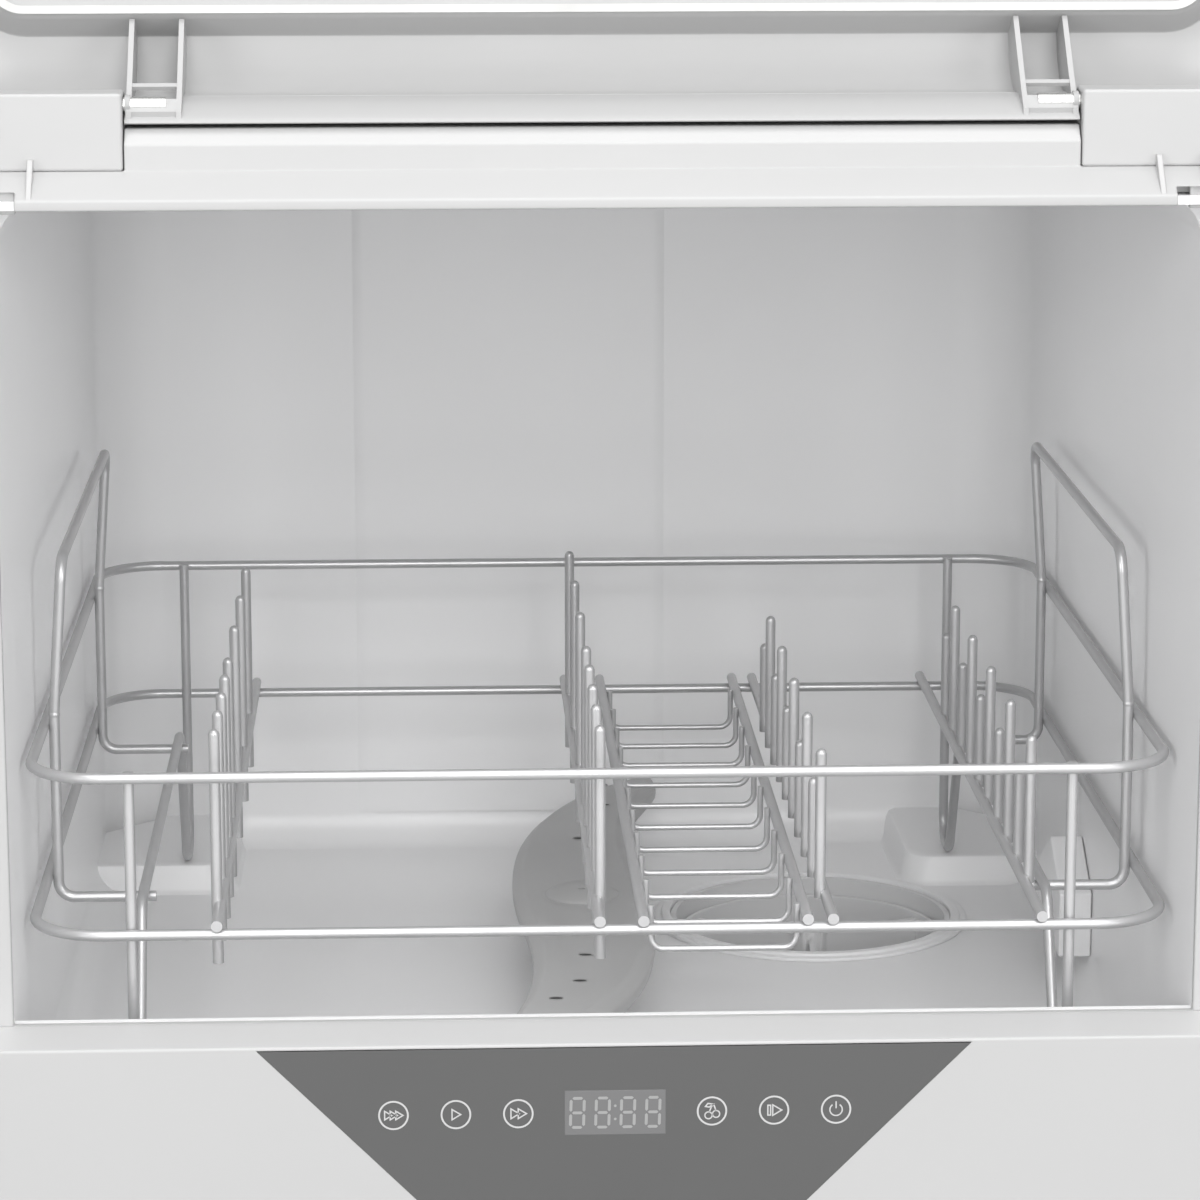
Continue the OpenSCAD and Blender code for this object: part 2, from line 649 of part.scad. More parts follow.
module arm_post() color("lightgray") {
    translate([0, arm_y, 0]) difference() {
        union() {
            translate([0, 0, pump_z - 13]) cylinder(h = arm_z - hub_h - gap - pump_z + 13, r = post_r);
            translate([0, 0, pump_z - 13]) cylinder(h = arm_z + arm_t + 1.5 - pump_z + 13, r = post_r - 2);
            translate([0, 0, floor_z]) cylinder(h = 3, r = post_r + 7);
            translate([0, 0, under_tub - 3]) cylinder(h = 3, r = post_r + 7);
            translate([0, 0, pump_z]) rotate([-90, 0, 0]) cylinder(h = 17, r = 9);
        }
        translate([0, 0, pump_z - 10]) cylinder(h = arm_z + arm_t + 20 - pump_z, r = post_r - 4);
        translate([0, 0, pump_z]) rotate([-90, 0, 0]) cylinder(h = 18, r = 6.5);
    }
}

pump_z = foot_h + 62;                // axis of the wash pump
vol_x1 = sump_x - sump_r - 12;       // right face of the pump housing
vol_t = 32;
vol_r = min(34, under_tub - pump_z - 1);
motor_len = 72;
motor_r = 28;

module wash_pump_housing() color("lightgray") {
    x0 = vol_x1 - vol_t;
    difference() {
        union() {
            translate([x0, sump_y, pump_z]) rotate([0, 90, 0]) cylinder(h = vol_t - gap, r = vol_r);
            translate([0, sump_y - vol_r + 6, pump_z]) rotate([90, 0, 0]) cylinder(h = 14, r = 9);
        }
        translate([x0 + 3, sump_y, pump_z]) rotate([0, 90, 0]) cylinder(h = vol_t - 6, r = vol_r - 3);
        translate([x0 + vol_t - 4, sump_y, pump_z]) rotate([0, 90, 0]) cylinder(h = 6, r = 11);
        translate([x0 - 1, sump_y, pump_z]) rotate([0, 90, 0]) cylinder(h = 5, r = 4 + run_gap);
        translate([0, sump_y - vol_r + 7, pump_z]) rotate([90, 0, 0]) cylinder(h = 16, r = 6.5);
    }
    // Saddle on the base pan
    difference() {
        block([x0 + 6, sump_y - 18, pan_top], [x0 + vol_t - 8, sump_y + 18, pump_z - vol_r + 6]);
        translate([x0, sump_y, pump_z]) rotate([0, 90, 0]) cylinder(h = vol_t, r = vol_r - 1);
    }
}

module wash_pump_motor() color("slategray") {
    x0 = vol_x1 - vol_t - gap - motor_len;
    difference() {
        translate([x0, sump_y, pump_z]) rotate([0, 90, 0]) cylinder(h = motor_len, r = motor_r);
        translate([x0 + 4, sump_y, pump_z]) rotate([0, 90, 0]) cylinder(h = motor_len - 8, r = motor_r - 6);
        translate([x0 + motor_len - 6, sump_y, pump_z]) rotate([0, 90, 0]) cylinder(h = 8, r = 4 + run_gap);
    }
    for (k = [8, motor_len - 20]) difference() {
        block([x0 + k, sump_y - 16, pan_top], [x0 + k + 10, sump_y + 16, pump_z - motor_r + 4]);
        translate([x0, sump_y, pump_z]) rotate([0, 90, 0]) cylinder(h = motor_len, r = motor_r - 1);
    }
}

module wash_rotor() color("silver") {
    x1 = vol_x1 - vol_t - gap;
    translate([x1 - motor_len + 8, sump_y, pump_z]) rotate([0, 90, 0]) {
        cylinder(h = motor_len + 14, r = 4);
        translate([0, 0, 6]) cylinder(h = motor_len - 28, r = 19);
        translate([0, 0, motor_len + 2]) cylinder(h = 3, r = vol_r - 7);
        for (a = [0 : 60 : 300]) rotate(a) translate([3, -0.8, motor_len + 4]) cube([vol_r - 11, 1.6, 10]);
    }
}

module heater() color("silver") {
    y0 = arm_y + 17 + gap;
    y1 = sump_y - vol_r + 6 - 14 - gap;
    translate([0, y0, pump_z]) rotate([-90, 0, 0]) difference() {
        union() {
            cylinder(h = y1 - y0, r = 13);
            translate([0, 0, 2]) cylinder(h = 3, r = 16);
            translate([0, 0, y1 - y0 - 5]) cylinder(h = 3, r = 16);
        }
        translate([0, 0, -1]) cylinder(h = y1 - y0 + 2, r = 6.5);
    }
    for (k = [0.35, 0.65]) translate([0, y0 + k * (y1 - y0), pump_z + 12]) cylinder(h = 10, r = 1.6);
}

drain_x0 = sump_x + sump_r + 8 + gap;
module drain_pump() color("lightgray") {
    difference() {
        union() {
            translate([drain_x0, sump_y, pipe_z]) rotate([0, 90, 0]) cylinder(h = 16, r = 20);
            translate([drain_x0 + 16 - tiny, sump_y, pipe_z]) rotate([0, 90, 0]) cylinder(h = 30, r = 17);
            translate([drain_x, sump_y + 16, pipe_z]) rotate([-90, 0, 0]) cylinder(h = 16, r = 8);
            block([drain_x0 + 3, sump_y - 12, pan_top], [drain_x0 + 13, sump_y + 12, pipe_z - 16]);
        }
        translate([drain_x0 + 2.5, sump_y, pipe_z]) rotate([0, 90, 0]) cylinder(h = 11, r = 17.5);
        translate([drain_x0 - 1, sump_y, pipe_z]) rotate([0, 90, 0]) cylinder(h = 5, r = 7);
        translate([drain_x0 + 13, sump_y, pipe_z]) rotate([0, 90, 0]) cylinder(h = 22, r = 3 + run_gap);
        translate([drain_x, sump_y + 15, pipe_z]) rotate([-90, 0, 0]) cylinder(h = 18, r = 6);
    }
}

module drain_rotor() color("silver") {
    translate([drain_x0 + 4, sump_y, pipe_z]) rotate([0, 90, 0]) {
        cylinder(h = 26, r = 3);
        for (a = [0 : 90 : 270]) rotate(a) translate([2, -0.8, 0]) cube([12, 1.6, 8]);
    }
}

hose_r = 7;
hose_t = 1.6;
module drain_hose() color("gray") {
    y0 = sump_y + 32 + gap;
    y1 = hy - bay_depth - 2 * panel_t - 8 - gap;
    translate([drain_x, y0, pipe_z]) rotate([-90, 0, 0]) difference() {
        union() {
            cylinder(h = y1 - y0, r = 8);
            for (z = [4 : 6 : y1 - y0 - 5]) translate([0, 0, z]) cylinder(h = 3, r = 9.2);
        }
        translate([0, 0, -1]) cylinder(h = y1 - y0 + 2, r = 6);
    }
}

neck = 0.6;    // how much narrower a fitting is where it passes through the panel
relief = 1;    // space between a fitting's nut and the part that the hose goes on
module fitting(x, r, bore, tail) {
    y0 = hy - bay_depth - 2 * panel_t;
    neck_h = tail + panel_t + 2.5 + relief;
    translate([x, y0 - tail, pipe_z]) rotate([-90, 0, 0]) difference() {
        union() {
            cylinder(h = neck_h, r = r - neck);
            translate([0, 0, neck_h]) cylinder(h = tail + bay_depth + panel_t - neck_h, r = r);
            translate([0, 0, tail - 3]) cylinder(h = 3 - tiny, r = r + 4);
            translate([0, 0, tail + panel_t]) cylinder(h = 2.5, r = r + 3, $fn = 6);
        }
        translate([0, 0, -1]) cylinder(h = tail + bay_depth + 2 * panel_t + 1, r = bore);
    }
}

module drain_fitting() color("gray") fitting(drain_x, drain_r, 6, 8);
module inlet_fitting() color("gray") fitting(inlet_x, inlet_r, 8, 6);

module inlet_valve() color("white") {
    y1 = hy - bay_depth - 2 * panel_t - 6 - gap;
    y0 = y1 - 34;
    difference() {
        union() {
            translate([inlet_x, y0, pipe_z]) rotate([-90, 0, 0]) cylinder(h = y1 - y0, r = 14);
            block([inlet_x + 8, y0 + 4, pipe_z - 14], [inlet_x + 42, y0 + 30, pipe_z + 14]);
            block([inlet_x - 8, y0 + 8, pan_top], [inlet_x + 8, y0 + 26, pipe_z - 10]);
            translate([inlet_x, y0 + 14, pipe_z]) cylinder(h = stub_h, r = hose_r);
        }
        translate([inlet_x, y0 + 4, pipe_z]) rotate([-90, 0, 0]) cylinder(h = 40, r = 8);
        translate([inlet_x, y0 + 14, pipe_z]) cylinder(h = 60, r = hose_r - hose_t);
    }
}

stub_h = 18;                         // height of the valve's outlet above its axis
hose_y = hy - panel_t - 0.5 - hose_r - 2;   // the hose climbs here, behind the tub
module inlet_hose() color("gray") {
    yv = hy - bay_depth - 2 * panel_t - 6 - gap - 20;
    zh = under_tub - hose_r - 2.5;
    in_yz(inlet_x) bent_wire([
        [yv, pipe_z + stub_h + gap], [yv, zh], [hose_y, zh], [hose_y, feed_z], [tub_back - 2, feed_z]],
        2 * hose_r, 9, bore = 2 * (hose_r - hose_t));
}

module power_inlet() color("black") {
    y0 = hy - bay_depth - 2 * panel_t;
    translate([power_x, y0 - 10, pipe_z]) rotate([-90, 0, 0]) difference() {
        union() {
            cylinder(h = 10 + panel_t + 13, r = gland_r);
            translate([0, 0, 7]) cylinder(h = 3 - tiny, r = gland_r + 3, $fn = 6);
            translate([0, 0, 10 + panel_t]) cylinder(h = 7, r = gland_r + 3, $fn = 6);
        }
        translate([0, 0, -1]) cylinder(h = 40, r = cord_bore);
    }
}
cord_bore = 3.6;

// ---------- drying fan ----------

fan_x0 = tub_hx + tub_t + gap;
fan_t = 24;
fan_z = floor_z + 74;
fan_r = 40;
module fan_housing() color("dimgray") {
    difference() {
        union() {
            translate([fan_x0, vent_y, fan_z]) rotate([0, 90, 0]) cylinder(h = fan_t, r = fan_r);
            block([fan_x0, vent_y - 14, vent_z - 14], [fan_x0 + fan_t, vent_y + 14, fan_z]);
        }
        translate([fan_x0 + 2, vent_y, fan_z]) rotate([0, 90, 0]) cylinder(h = fan_t - 4, r = fan_r - 2);
        block([fan_x0 + 2, vent_y - 12, vent_z - 12], [fan_x0 + fan_t - 2, vent_y + 12, fan_z]);
        translate([fan_x0 + fan_t - 4, vent_y, fan_z]) rotate([0, 90, 0]) cylinder(h = 6, r = 20);
        translate([fan_x0 - 1, vent_y, vent_z]) rotate([0, 90, 0]) cylinder(h = 5, r = vent_r);
    }
    translate([fan_x0 + 2 - tiny, vent_y, fan_z]) rotate([0, 90, 0]) cylinder(h = 6, r = 3);
}

module fan_rotor() color("black") {
    translate([fan_x0 + 4, vent_y, fan_z]) rotate([0, 90, 0]) {
        difference() {
            cylinder(h = fan_t - 9, r = 12);
            translate([0, 0, -1]) cylinder(h = 7, r = 3 + run_gap);
        }
        translate([0, 0, 1]) difference() {
            cylinder(h = 1.5, r = fan_r - 6);
            translate([0, 0, -1]) cylinder(h = 4, r = 11);
        }
        for (a = [0 : 20 : 340]) rotate(a) translate([24, -0.6, 2]) rotate(20) cube([9, 1.2, fan_t - 12]);
    }
}

// Pitched hood over the air inlet in the right wall
module vent_hood() color("lightgray") {
    depth = 11;
    x1 = tub_hx - gap;
    half = 24;
    translate([0, vent_y, vent_z]) difference() {
        translate([x1 - depth, 0, 0]) rotate([90, 0, 90]) linear_extrude(depth) polygon([
            [-half, -16], [half, -16], [half, 6], [0, 20], [-half, 6]]);
        translate([x1 - depth + 2, 0, 0]) rotate([90, 0, 90]) linear_extrude(depth) polygon([
            [-half + 2, -17], [half - 2, -17], [half - 2, 5], [0, 17.5], [-half + 2, 5]]);
    }
}

// ---------- door, drawn shut with the hinge axis at the origin, then swung open ----------

module opened() {
    translate([0, axis_y, axis_z]) rotate([-door_swing, 0, 0]) children();
}

front_off = -hy - axis_y;            // outer face of the door, from the hinge axis
low_off = rim_z + 1.5 - axis_z;      // lower edge of the door
skin_t = 2.5;
base_off = front_off + 11;           // flat field of the lining
field_off = base_off + field_h;      // raised field of the lining
seal_off = mouth_y - gap - axis_y;   // where the seal ends, in front of the frame
return_off = block_y - 2 - axis_y;   // where the door's top ends in front of the blocks
field_top = -25;
draft = 4.5;                         // how far the field's sides slope outwards
field_hx = tub_hx + 4;
field_low = low_off + skin_t + gap + draft + 1.5;
field_r = 16;
seal_in = 1;                         // from the field's edge to the seal
seal_w = 2.4;
cove_r = 17.5;
knuckle_x = block_x - 0.5;

// Solid with the door's outer shape: soft edges around its front
module door_body() {
    r = edge_r;
    z0 = low_off;
    z1 = top_z - axis_z;
    y0 = front_off;
    y1 = mouth_y - 0.5 - axis_y;
    block([-hx, y0 + r, z0], [hx, y1, z1]);
    block([-hx + r, y0, z0 + r], [hx - r, y0 + r + tiny, z1 - r]);
    for (z = [z0 + r, z1 - r]) rod([-hx + r, y0 + r, z], [hx - r, y0 + r, z], 2 * r);
    mirror_x() {
        rod([hx - r, y0 + r, z0 + r], [hx - r, y0 + r, z1 - r], 2 * r);
        for (z = [z0 + r, z1 - r]) translate([hx - r, y0 + r, z]) sphere(r);
    }
}

module door_shell() color("white") opened() {
    z1 = top_z - axis_z;
    t = skin_t;
    difference() {
        union() {
            door_body();
            block([-hx, mouth_y - 1 - axis_y, z1 - t], [hx, return_off, z1]);
            block([-knuckle_x, return_off - 1, z1 - t], [knuckle_x, -barrel_r - gap, z1]);
        }
        block([-hx + t, front_off + t, low_off + t], [hx - t, mouth_y - axis_y, z1 - t]);
        block([-grip_w / 2, front_off - 1, low_off + 8], [grip_w / 2, front_off + t + 1, low_off + 30]);
    }
}

module door_grip() color("whitesmoke") opened() {
    z0 = low_off + 8 + gap;
    z1 = low_off + 30 - gap;
    w = grip_w / 2 - gap;
    depth = base_off - 2 - gap - front_off;
    difference() {
        block([-w, front_off + 0.4, z0], [w, front_off + depth, z1]);
        block([-w + 2, front_off - 1, z0 + 2], [w - 2, front_off + depth - 1.5, z1 - 5]);
        translate([-w + 2, front_off + 0.4, z1 - 5]) rotate([0, 90, 0]) cylinder(h = 2 * w - 4, r = 3);
    }
}

// Outline of the raised field, seen from inside the tub
module field_outline(inset, fn = $fn) {
    w = 2 * (field_hx + draft - inset);
    h = field_top - field_low + 2 * (draft - inset);
    translate([0, (field_top + field_low) / 2]) round_rect(w, h, field_r - inset, $fn = fn);
}

// The raised field as a solid up to the depth y_top, with sides that slope outwards
module field_solid(inset, y_top) {
    y0 = base_off - 1;
    hull() {
        translate([0, y0 + 0.1, 0]) rotate([90, 0, 0]) linear_extrude(0.1) field_outline(inset, 32);
        translate([0, y_top, 0]) rotate([90, 0, 0]) linear_extrude(0.1) field_outline(inset + draft, 32);
    }
}

module door_liner() color("white") opened() {
    t = 2;
    edge = hx - skin_t - gap;
    top = cove_top;
    cove_y = base_off + cove_r;
    difference() {
        union() {
            block([-edge, base_off - t, low_off + skin_t + gap], [edge, base_off, top]);
            field_solid(0, field_off);
            // Hollow curve from the flat field towards the hinge
            in_yz(-edge) linear_extrude(2 * edge) difference() {
                union() {
                    translate([cove_y, top]) circle(cove_r + t);
                    translate([cove_y, top + cove_r]) square([return_off - cove_y, t]);
                }
                translate([cove_y, top]) circle(cove_r);
                translate([base_off - t - 1, top - cove_r - t - 1]) square([2 * cove_r + 10, cove_r + t + 1]);
                translate([cove_y, top - 1]) square([cove_r + t + 1, cove_r + 1]);
                translate([return_off, top]) square([cove_r, cove_r + t + 1]);
            }
            block([-knuckle_x + gap, return_off - 1, top + cove_r],
                [knuckle_x - gap, -barrel_r + 1, top + cove_r + t]);
            translate([-knuckle_x, 0, 0]) rotate([0, 90, 0]) cylinder(h = 2 * knuckle_x, r = barrel_r);
        }
        field_solid(t, field_off - t);
        mirror_x() translate([-knuckle_x - 1, 0, 0]) rotate([0, 90, 0])
            cylinder(h = pin_in + 2, r = pin_r + run_gap);
        // Groove for the seal
        translate([0, field_off + 1, 0]) rotate([90, 0, 0]) linear_extrude(2) difference() {
            field_outline(draft + seal_in);
            field_outline(draft + seal_in + seal_w);
        }
    }
}
cove_top = -cove_r - 2.5;

module door_gasket() color("lightgray") opened() {
    translate([0, seal_off, 0]) rotate([90, 0, 0]) linear_extrude(seal_off - field_off + 1) difference() {
        field_outline(draft + seal_in + 0.05);
        field_outline(draft + seal_in + seal_w - 0.05);
    }
}

// Two channel brackets that stiffen the hinge side, each with a cross bar and a small window
arm_x0 = block_x - 16.5;
arm_x1 = knuckle_x - gap;
web_t = 2.2;

// One upright web of a bracket, which fills the hollow curve in front of the hinge
module arm_web(x) {
    in_yz(x) linear_extrude(web_t) difference() {
        polygon([[-barrel_r - 0.8, -3.2], [base_off + 0.6, -3.2], [base_off + 0.6, field_top + draft + 1],
            [base_off + 6, field_top + draft + 1], [-barrel_r + 1, -barrel_r - 1.6]]);
        difference() {
            translate([base_off - 1, cove_top]) square([cove_r + 1, cove_r + 3]);
            translate([base_off + cove_r, cove_top]) circle(cove_r - 0.05);
        }
        circle(barrel_r + gap);
    }
}

module door_arms() color("white") opened() {
    for (side = [-1, 1]) {
        arm_web(side > 0 ? arm_x0 : -arm_x0 - web_t);
        arm_web(side > 0 ? arm_x1 - web_t : -arm_x1);
        xa = side > 0 ? arm_x0 + web_t - tiny : -arm_x1 + web_t - tiny;
        xb = side > 0 ? arm_x1 - web_t + tiny : -arm_x0 - web_t + tiny;
        block([xa, -barrel_r - 4.4, -5.6], [xb, -barrel_r - 1.2, -2.9]);
        block([xa, -barrel_r - 11.5, -9.2], [xb, -barrel_r - 9.5, -3]);
    }
}

module door_magnets() color("silver") opened() {
    for (x = [-1, 1] * magnet_x) translate([x, base_off, magnet_z - axis_z]) rotate([-90, 0, 0])
        cylinder(h = mouth_y - gap - axis_y - base_off, r = magnet_r);
}

// ---------- rack ----------

rack_hx = tub_hx - rack_gap;
ring_z = floor_z + ring_low;
upper_z = ring_z + ring_rise;
rack_y1 = tub_back - rack_back;      // back wire
rack_y0 = tub_wall_y + rack_front;   // front wire
rack_d = rack_y1 - rack_y0;
weld = 0.15;                         // how far two welded wires press into each other
step = wire_d - weld;                // distance between two welded wires
runner_x = rack_hx - 30;
handle_ys = [rack_y0 + 65, rack_y1 - 58];

module ring(z) {
    translate([0, 0, z]) bent_wire([[-rack_hx, rack_y0], [rack_hx, rack_y0], [rack_hx, rack_y1],
        [-rack_hx, rack_y1]], wire_d, rack_r, true);
}

module rack_lower_ring() color("silver") ring(ring_z);
module rack_upper_ring() color("silver") ring(upper_z);

// One side wire: upright, foot, runner, foot, upright
foot_in = 46;
module runner(x) {
    yb = rack_y1 - step;
    yf = rack_y0 + step;
    zf = floor_z + pad_h + wire_d / 2 + gap;
    zr = ring_z - step;
    top = upper_z + 1;
    in_yz(x) bent_wire([
        [yb, top], [yb, zf], [yb - 19, zf], [yb - foot_in, zr], [yf + foot_in, zr], [yf + 19, zf],
        [yf, zf], [yf, top]], wire_d, 9);
}

module rack_runner_left() color("silver") runner(-runner_x);
module rack_runner_right() color("silver") runner(runner_x);

module handle() {
    x = rack_hx - step;
    z_leg = ring_z - 2 * step;
    z_top = upper_z + handle_h;
    lean = 3.5;
    for (y = handle_ys) {
        in_xz(y) bent_wire([[runner_x - wire_d, z_leg], [x, z_leg], [x, upper_z + 4]], wire_d, 5);
        translate([x, y, upper_z + 4]) sphere(d = wire_d + 0.2);
    }
    translate([x, 0, upper_z + 4]) rotate([0, -atan(lean / (handle_h - 4)), 0]) in_yz(0) bent_wire([
        [handle_ys[0], 0], [handle_ys[0], norm([lean, handle_h - 4])],
        [handle_ys[1], norm([lean, handle_h - 4])], [handle_ys[1], 0]], wire_d, 7);
}

module rack_handle_right() color("silver") handle();
module rack_handle_left() color("silver") mirror([1, 0, 0]) handle();

rail_z = ring_z + step;              // the lengthwise wires lie on the lower ring
module rail(x) {
    rod([x, rack_y0 - 3, rail_z], [x, rack_y1 + 3, rail_z], wire_d);
}

module upright(x, y, z0, z1) {
    translate([x, y, z0]) cylinder(h = z1 - z0, d = wire_d);
    translate([x, y, z1]) sphere(d = wire_d - 0.2);
}

// Row with long pins: four narrow spaces at the front, then three wide ones
module long_row(x, side, narrow, wide) {
    y0 = rack_y0 + rack_d * 7 / 104;
    rail(x);
    for (i = [0 : 7]) upright(x + side * step, y0 + narrow * min(i, 4) + wide * max(0, i - 4),
        ring_z - 15, ring_z - 15 + long_pin);
}

// Row with five tall pins, and a low pin behind each of them
module short_row(x, side, pitch, y0) {
    rail(x);
    for (i = [0 : 4]) {
        upright(x + side * step, y0 + pitch * i, rail_z - 1, rail_z + tall_pin);
        upright(x + side * step, y0 + pitch * (i + 0.5), rail_z - 1, rail_z + low_pin);
    }
}

row_left_x = 55.5 - rack_hx;
row_middle_x = -1;
row_outer_x = rack_hx - 39;
tray_x0 = 12;
tray_x1 = tray_x0 + tray_w;
row_inner_x = tray_x1 + 7.5;

module plate_row_left() color("silver") long_row(row_left_x, -0.3, rack_d / 13, rack_d * 2 / 13);
module plate_row_middle() color("silver") long_row(row_middle_x, 0.3, rack_d * 9 / 104, rack_d / 6);
short_pitch = rack_d * 47 / 312;
module plate_row_inner() color("silver") short_row(row_inner_x, -0.5, short_pitch, rack_y0 + 24);
module plate_row_outer() color("silver") short_row(row_outer_x, 0.5, short_pitch, rack_y0 + 38);

module cutlery_tray() color("silver") {
    dip = 11.5;
    d = tray_wire_d;
    off = (wire_d + d) / 2 - weld;
    rail(tray_x0);
    rail(tray_x1);
    pitch = (rack_d - 34) / (tray_wires - 1);
    for (i = [0 : tray_wires - 1]) in_xz(rack_y0 + 7 + i * pitch) bent_wire([
        [tray_x0 + off, rail_z + 2.2], [tray_x0 + off, rail_z - dip], [tray_x1 - off, rail_z - dip],
        [tray_x1 - off, rail_z + 2.2]], d, 4);
}

// ---------- the whole ----------

base_pan();
feet();
side_panel_left();
side_panel_right();
rear_panel();
top_cover();
front_frame();
hinge_block_left();
hinge_block_right();
hinge_pins();
fascia();
control_panel();
display_window();
control_board();
power_board();
tub();
insulation();
sump();
filter_ring();
filter_cup();
arm_post();
spray_arm();
arm_cap();
wash_pump_housing();
wash_pump_motor();
wash_rotor();
heater();
drain_pump();
drain_rotor();
drain_hose();
drain_fitting();
inlet_fitting();
inlet_valve();
inlet_hose();
power_inlet();
fan_housing();
fan_rotor();
vent_hood();
screws();
door_shell();
door_liner();
door_gasket();
door_arms();
door_grip();
door_magnets();
catch_plates();
rack_lower_ring();
rack_upper_ring();
rack_runner_left();
rack_runner_right();
rack_handle_left();
rack_handle_right();
plate_row_left();
plate_row_middle();
plate_row_inner();
plate_row_outer();
cutlery_tray();
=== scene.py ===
import bpy
import bmesh
import json
from math import cos, pi, radians, sin, sqrt, tau
from mathutils import Matrix, Vector


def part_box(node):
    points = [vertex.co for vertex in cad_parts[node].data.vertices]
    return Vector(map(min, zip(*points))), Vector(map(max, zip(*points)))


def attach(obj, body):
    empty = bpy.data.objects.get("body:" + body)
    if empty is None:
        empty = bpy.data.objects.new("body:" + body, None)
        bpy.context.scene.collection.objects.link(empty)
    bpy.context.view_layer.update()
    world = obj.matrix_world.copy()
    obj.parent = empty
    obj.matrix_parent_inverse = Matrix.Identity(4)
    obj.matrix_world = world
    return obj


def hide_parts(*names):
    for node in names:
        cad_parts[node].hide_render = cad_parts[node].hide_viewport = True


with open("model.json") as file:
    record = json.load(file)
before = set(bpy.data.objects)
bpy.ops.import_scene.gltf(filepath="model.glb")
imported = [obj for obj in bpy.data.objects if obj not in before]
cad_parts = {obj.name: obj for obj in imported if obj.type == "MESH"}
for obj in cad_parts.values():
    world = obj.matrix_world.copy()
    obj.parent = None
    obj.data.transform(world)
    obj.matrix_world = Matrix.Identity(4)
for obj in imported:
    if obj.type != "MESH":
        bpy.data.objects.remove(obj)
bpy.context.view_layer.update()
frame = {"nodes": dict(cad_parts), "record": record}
bodies = frame["record"]["behaviour"]["bodies"]
bodyOf = {node: body for body, nodes in bodies.items() for node in nodes}
print("frame loaded")

# where the main parts of the machine are; all lengths here are in metres
fasciaLow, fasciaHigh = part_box("fascia")
tubLow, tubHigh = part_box("tub")
tubWall = 0.0025
frontY = fasciaLow.y
rimZ = fasciaHigh.z
floorZ = tubLow.z + tubWall
tubHalf = tubHigh.x - tubWall
tubBackY = tubHigh.y - tubWall


class Sock:
    # a node's output that can be used in sums like a number
    def __init__(self, net, link):
        self.net = net
        self.link = link

    def maths(self, operation, other):
        return self.net.node("Math", {"operation": operation}, {0: self, 1: other})

    def __add__(self, other):
        return self.maths("ADD", other)

    def __mul__(self, other):
        return self.maths("MULTIPLY", other)

    def larger(self, other):
        return self.maths("MAXIMUM", other)

    __radd__ = __add__
    __rmul__ = __mul__


class NodeNet:
    # the nodes of a material or of the world
    def __init__(self, tree):
        self.tree = tree

    def put(self, socket, value):
        if isinstance(value, Sock):
            self.tree.links.new(socket, value.link)
        else:
            socket.default_value = value

    def node(self, kind, settings=None, inputs=None, out=0):
        made = self.tree.nodes.new("ShaderNode" + kind)
        for key, value in (settings or {}).items():
            setattr(made, key, value)
        for key, value in (inputs or {}).items():
            self.put(made.inputs[key], value)
        return Sock(self, made.outputs[out])


class Finish(NodeNet):
    # one material: a principled shader and the nodes in front of it
    def __init__(self, name, colour, roughness, **fixed):
        self.material = bpy.data.materials.new(name)
        self.material.use_nodes = True
        self.material.diffuse_color = (*colour, 1)
        super().__init__(self.material.node_tree)
        self.shader = self.tree.nodes["Principled BSDF"]
        self.feed("Base Color", (*colour, 1))
        self.feed("Roughness", roughness)
        for key, value in fixed.items():
            self.feed(key.replace("_", " "), value)

    def feed(self, name, value):
        self.put(self.shader.inputs[name], value)

    def noise(self, scale, detail=3, stretch=None):
        place = self.node("TexCoord", out="Object")
        if stretch:
            place = self.node("Mapping", {}, {"Vector": place, "Scale": stretch})
        return self.node("TexNoise", {}, {"Vector": place, "Scale": scale, "Detail": detail})

    def tint(self, mask, dark, light):
        # 6 and 7 are the Mix node's colour inputs, 2 is its colour output
        inputs = {"Factor": mask, 6: (*dark, 1), 7: (*light, 1)}
        return self.node("Mix", {"data_type": "RGBA"}, inputs, out=2)

    def bump(self, height, strength, depth, **more):
        inputs = {"Strength": strength, "Distance": depth, "Height": height, **more}
        self.feed("Normal", self.node("Bump", {}, inputs))


def shade(colour, factor):
    return tuple(min(1, c * factor) for c in colour)


def mouldedPlastic(name, colour, roughness=0.38, edge=0.0006, grain=0.02, marks=0.02, **fixed):
    # injection moulded plastic: slightly uneven colour and gloss, faint grain, softened edges
    finish = Finish(name, colour, roughness, **fixed)
    dark, light = shade(colour, 1 - marks), shade(colour, 1 + marks / 2)
    finish.feed("Base Color", finish.tint(finish.noise(9, 4), dark, light))
    finish.feed("Roughness", roughness - 0.06 + 0.12 * finish.noise(30))
    if edge:
        rounded = finish.node("Bevel", {"samples": 4}, {"Radius": edge})
        finish.bump(finish.noise(2600, 2), grain, 0.0002, Normal=rounded)
    return finish.material


def satinWire(name, colour):
    # grey coated wire: metal flake under a satin lacquer, duller in places
    finish = Finish(name, colour, 0.36, Metallic=0.55, Coat_Weight=0.25, Coat_Roughness=0.22)
    flake = finish.noise(1800, 2)
    wear = finish.noise(55, 4)
    finish.feed("Base Color", finish.tint(wear, shade(colour, 0.9), shade(colour, 1.08)))
    finish.feed("Roughness", 0.26 + 0.1 * flake + 0.12 * wear)
    finish.bump(flake, 0.05, 0.0001)
    return finish.material


def bareSteel(name, colour, roughness=0.28):
    # drawn steel: fine lines along the piece
    finish = Finish(name, colour, roughness, Metallic=1.0)
    lines = finish.noise(900, 3, (1, 1, 14))
    finish.feed("Roughness", roughness - 0.1 + 0.2 * lines)
    finish.feed("Base Color", finish.tint(finish.noise(40), shade(colour, 0.88), shade(colour, 1.06)))
    return finish.material


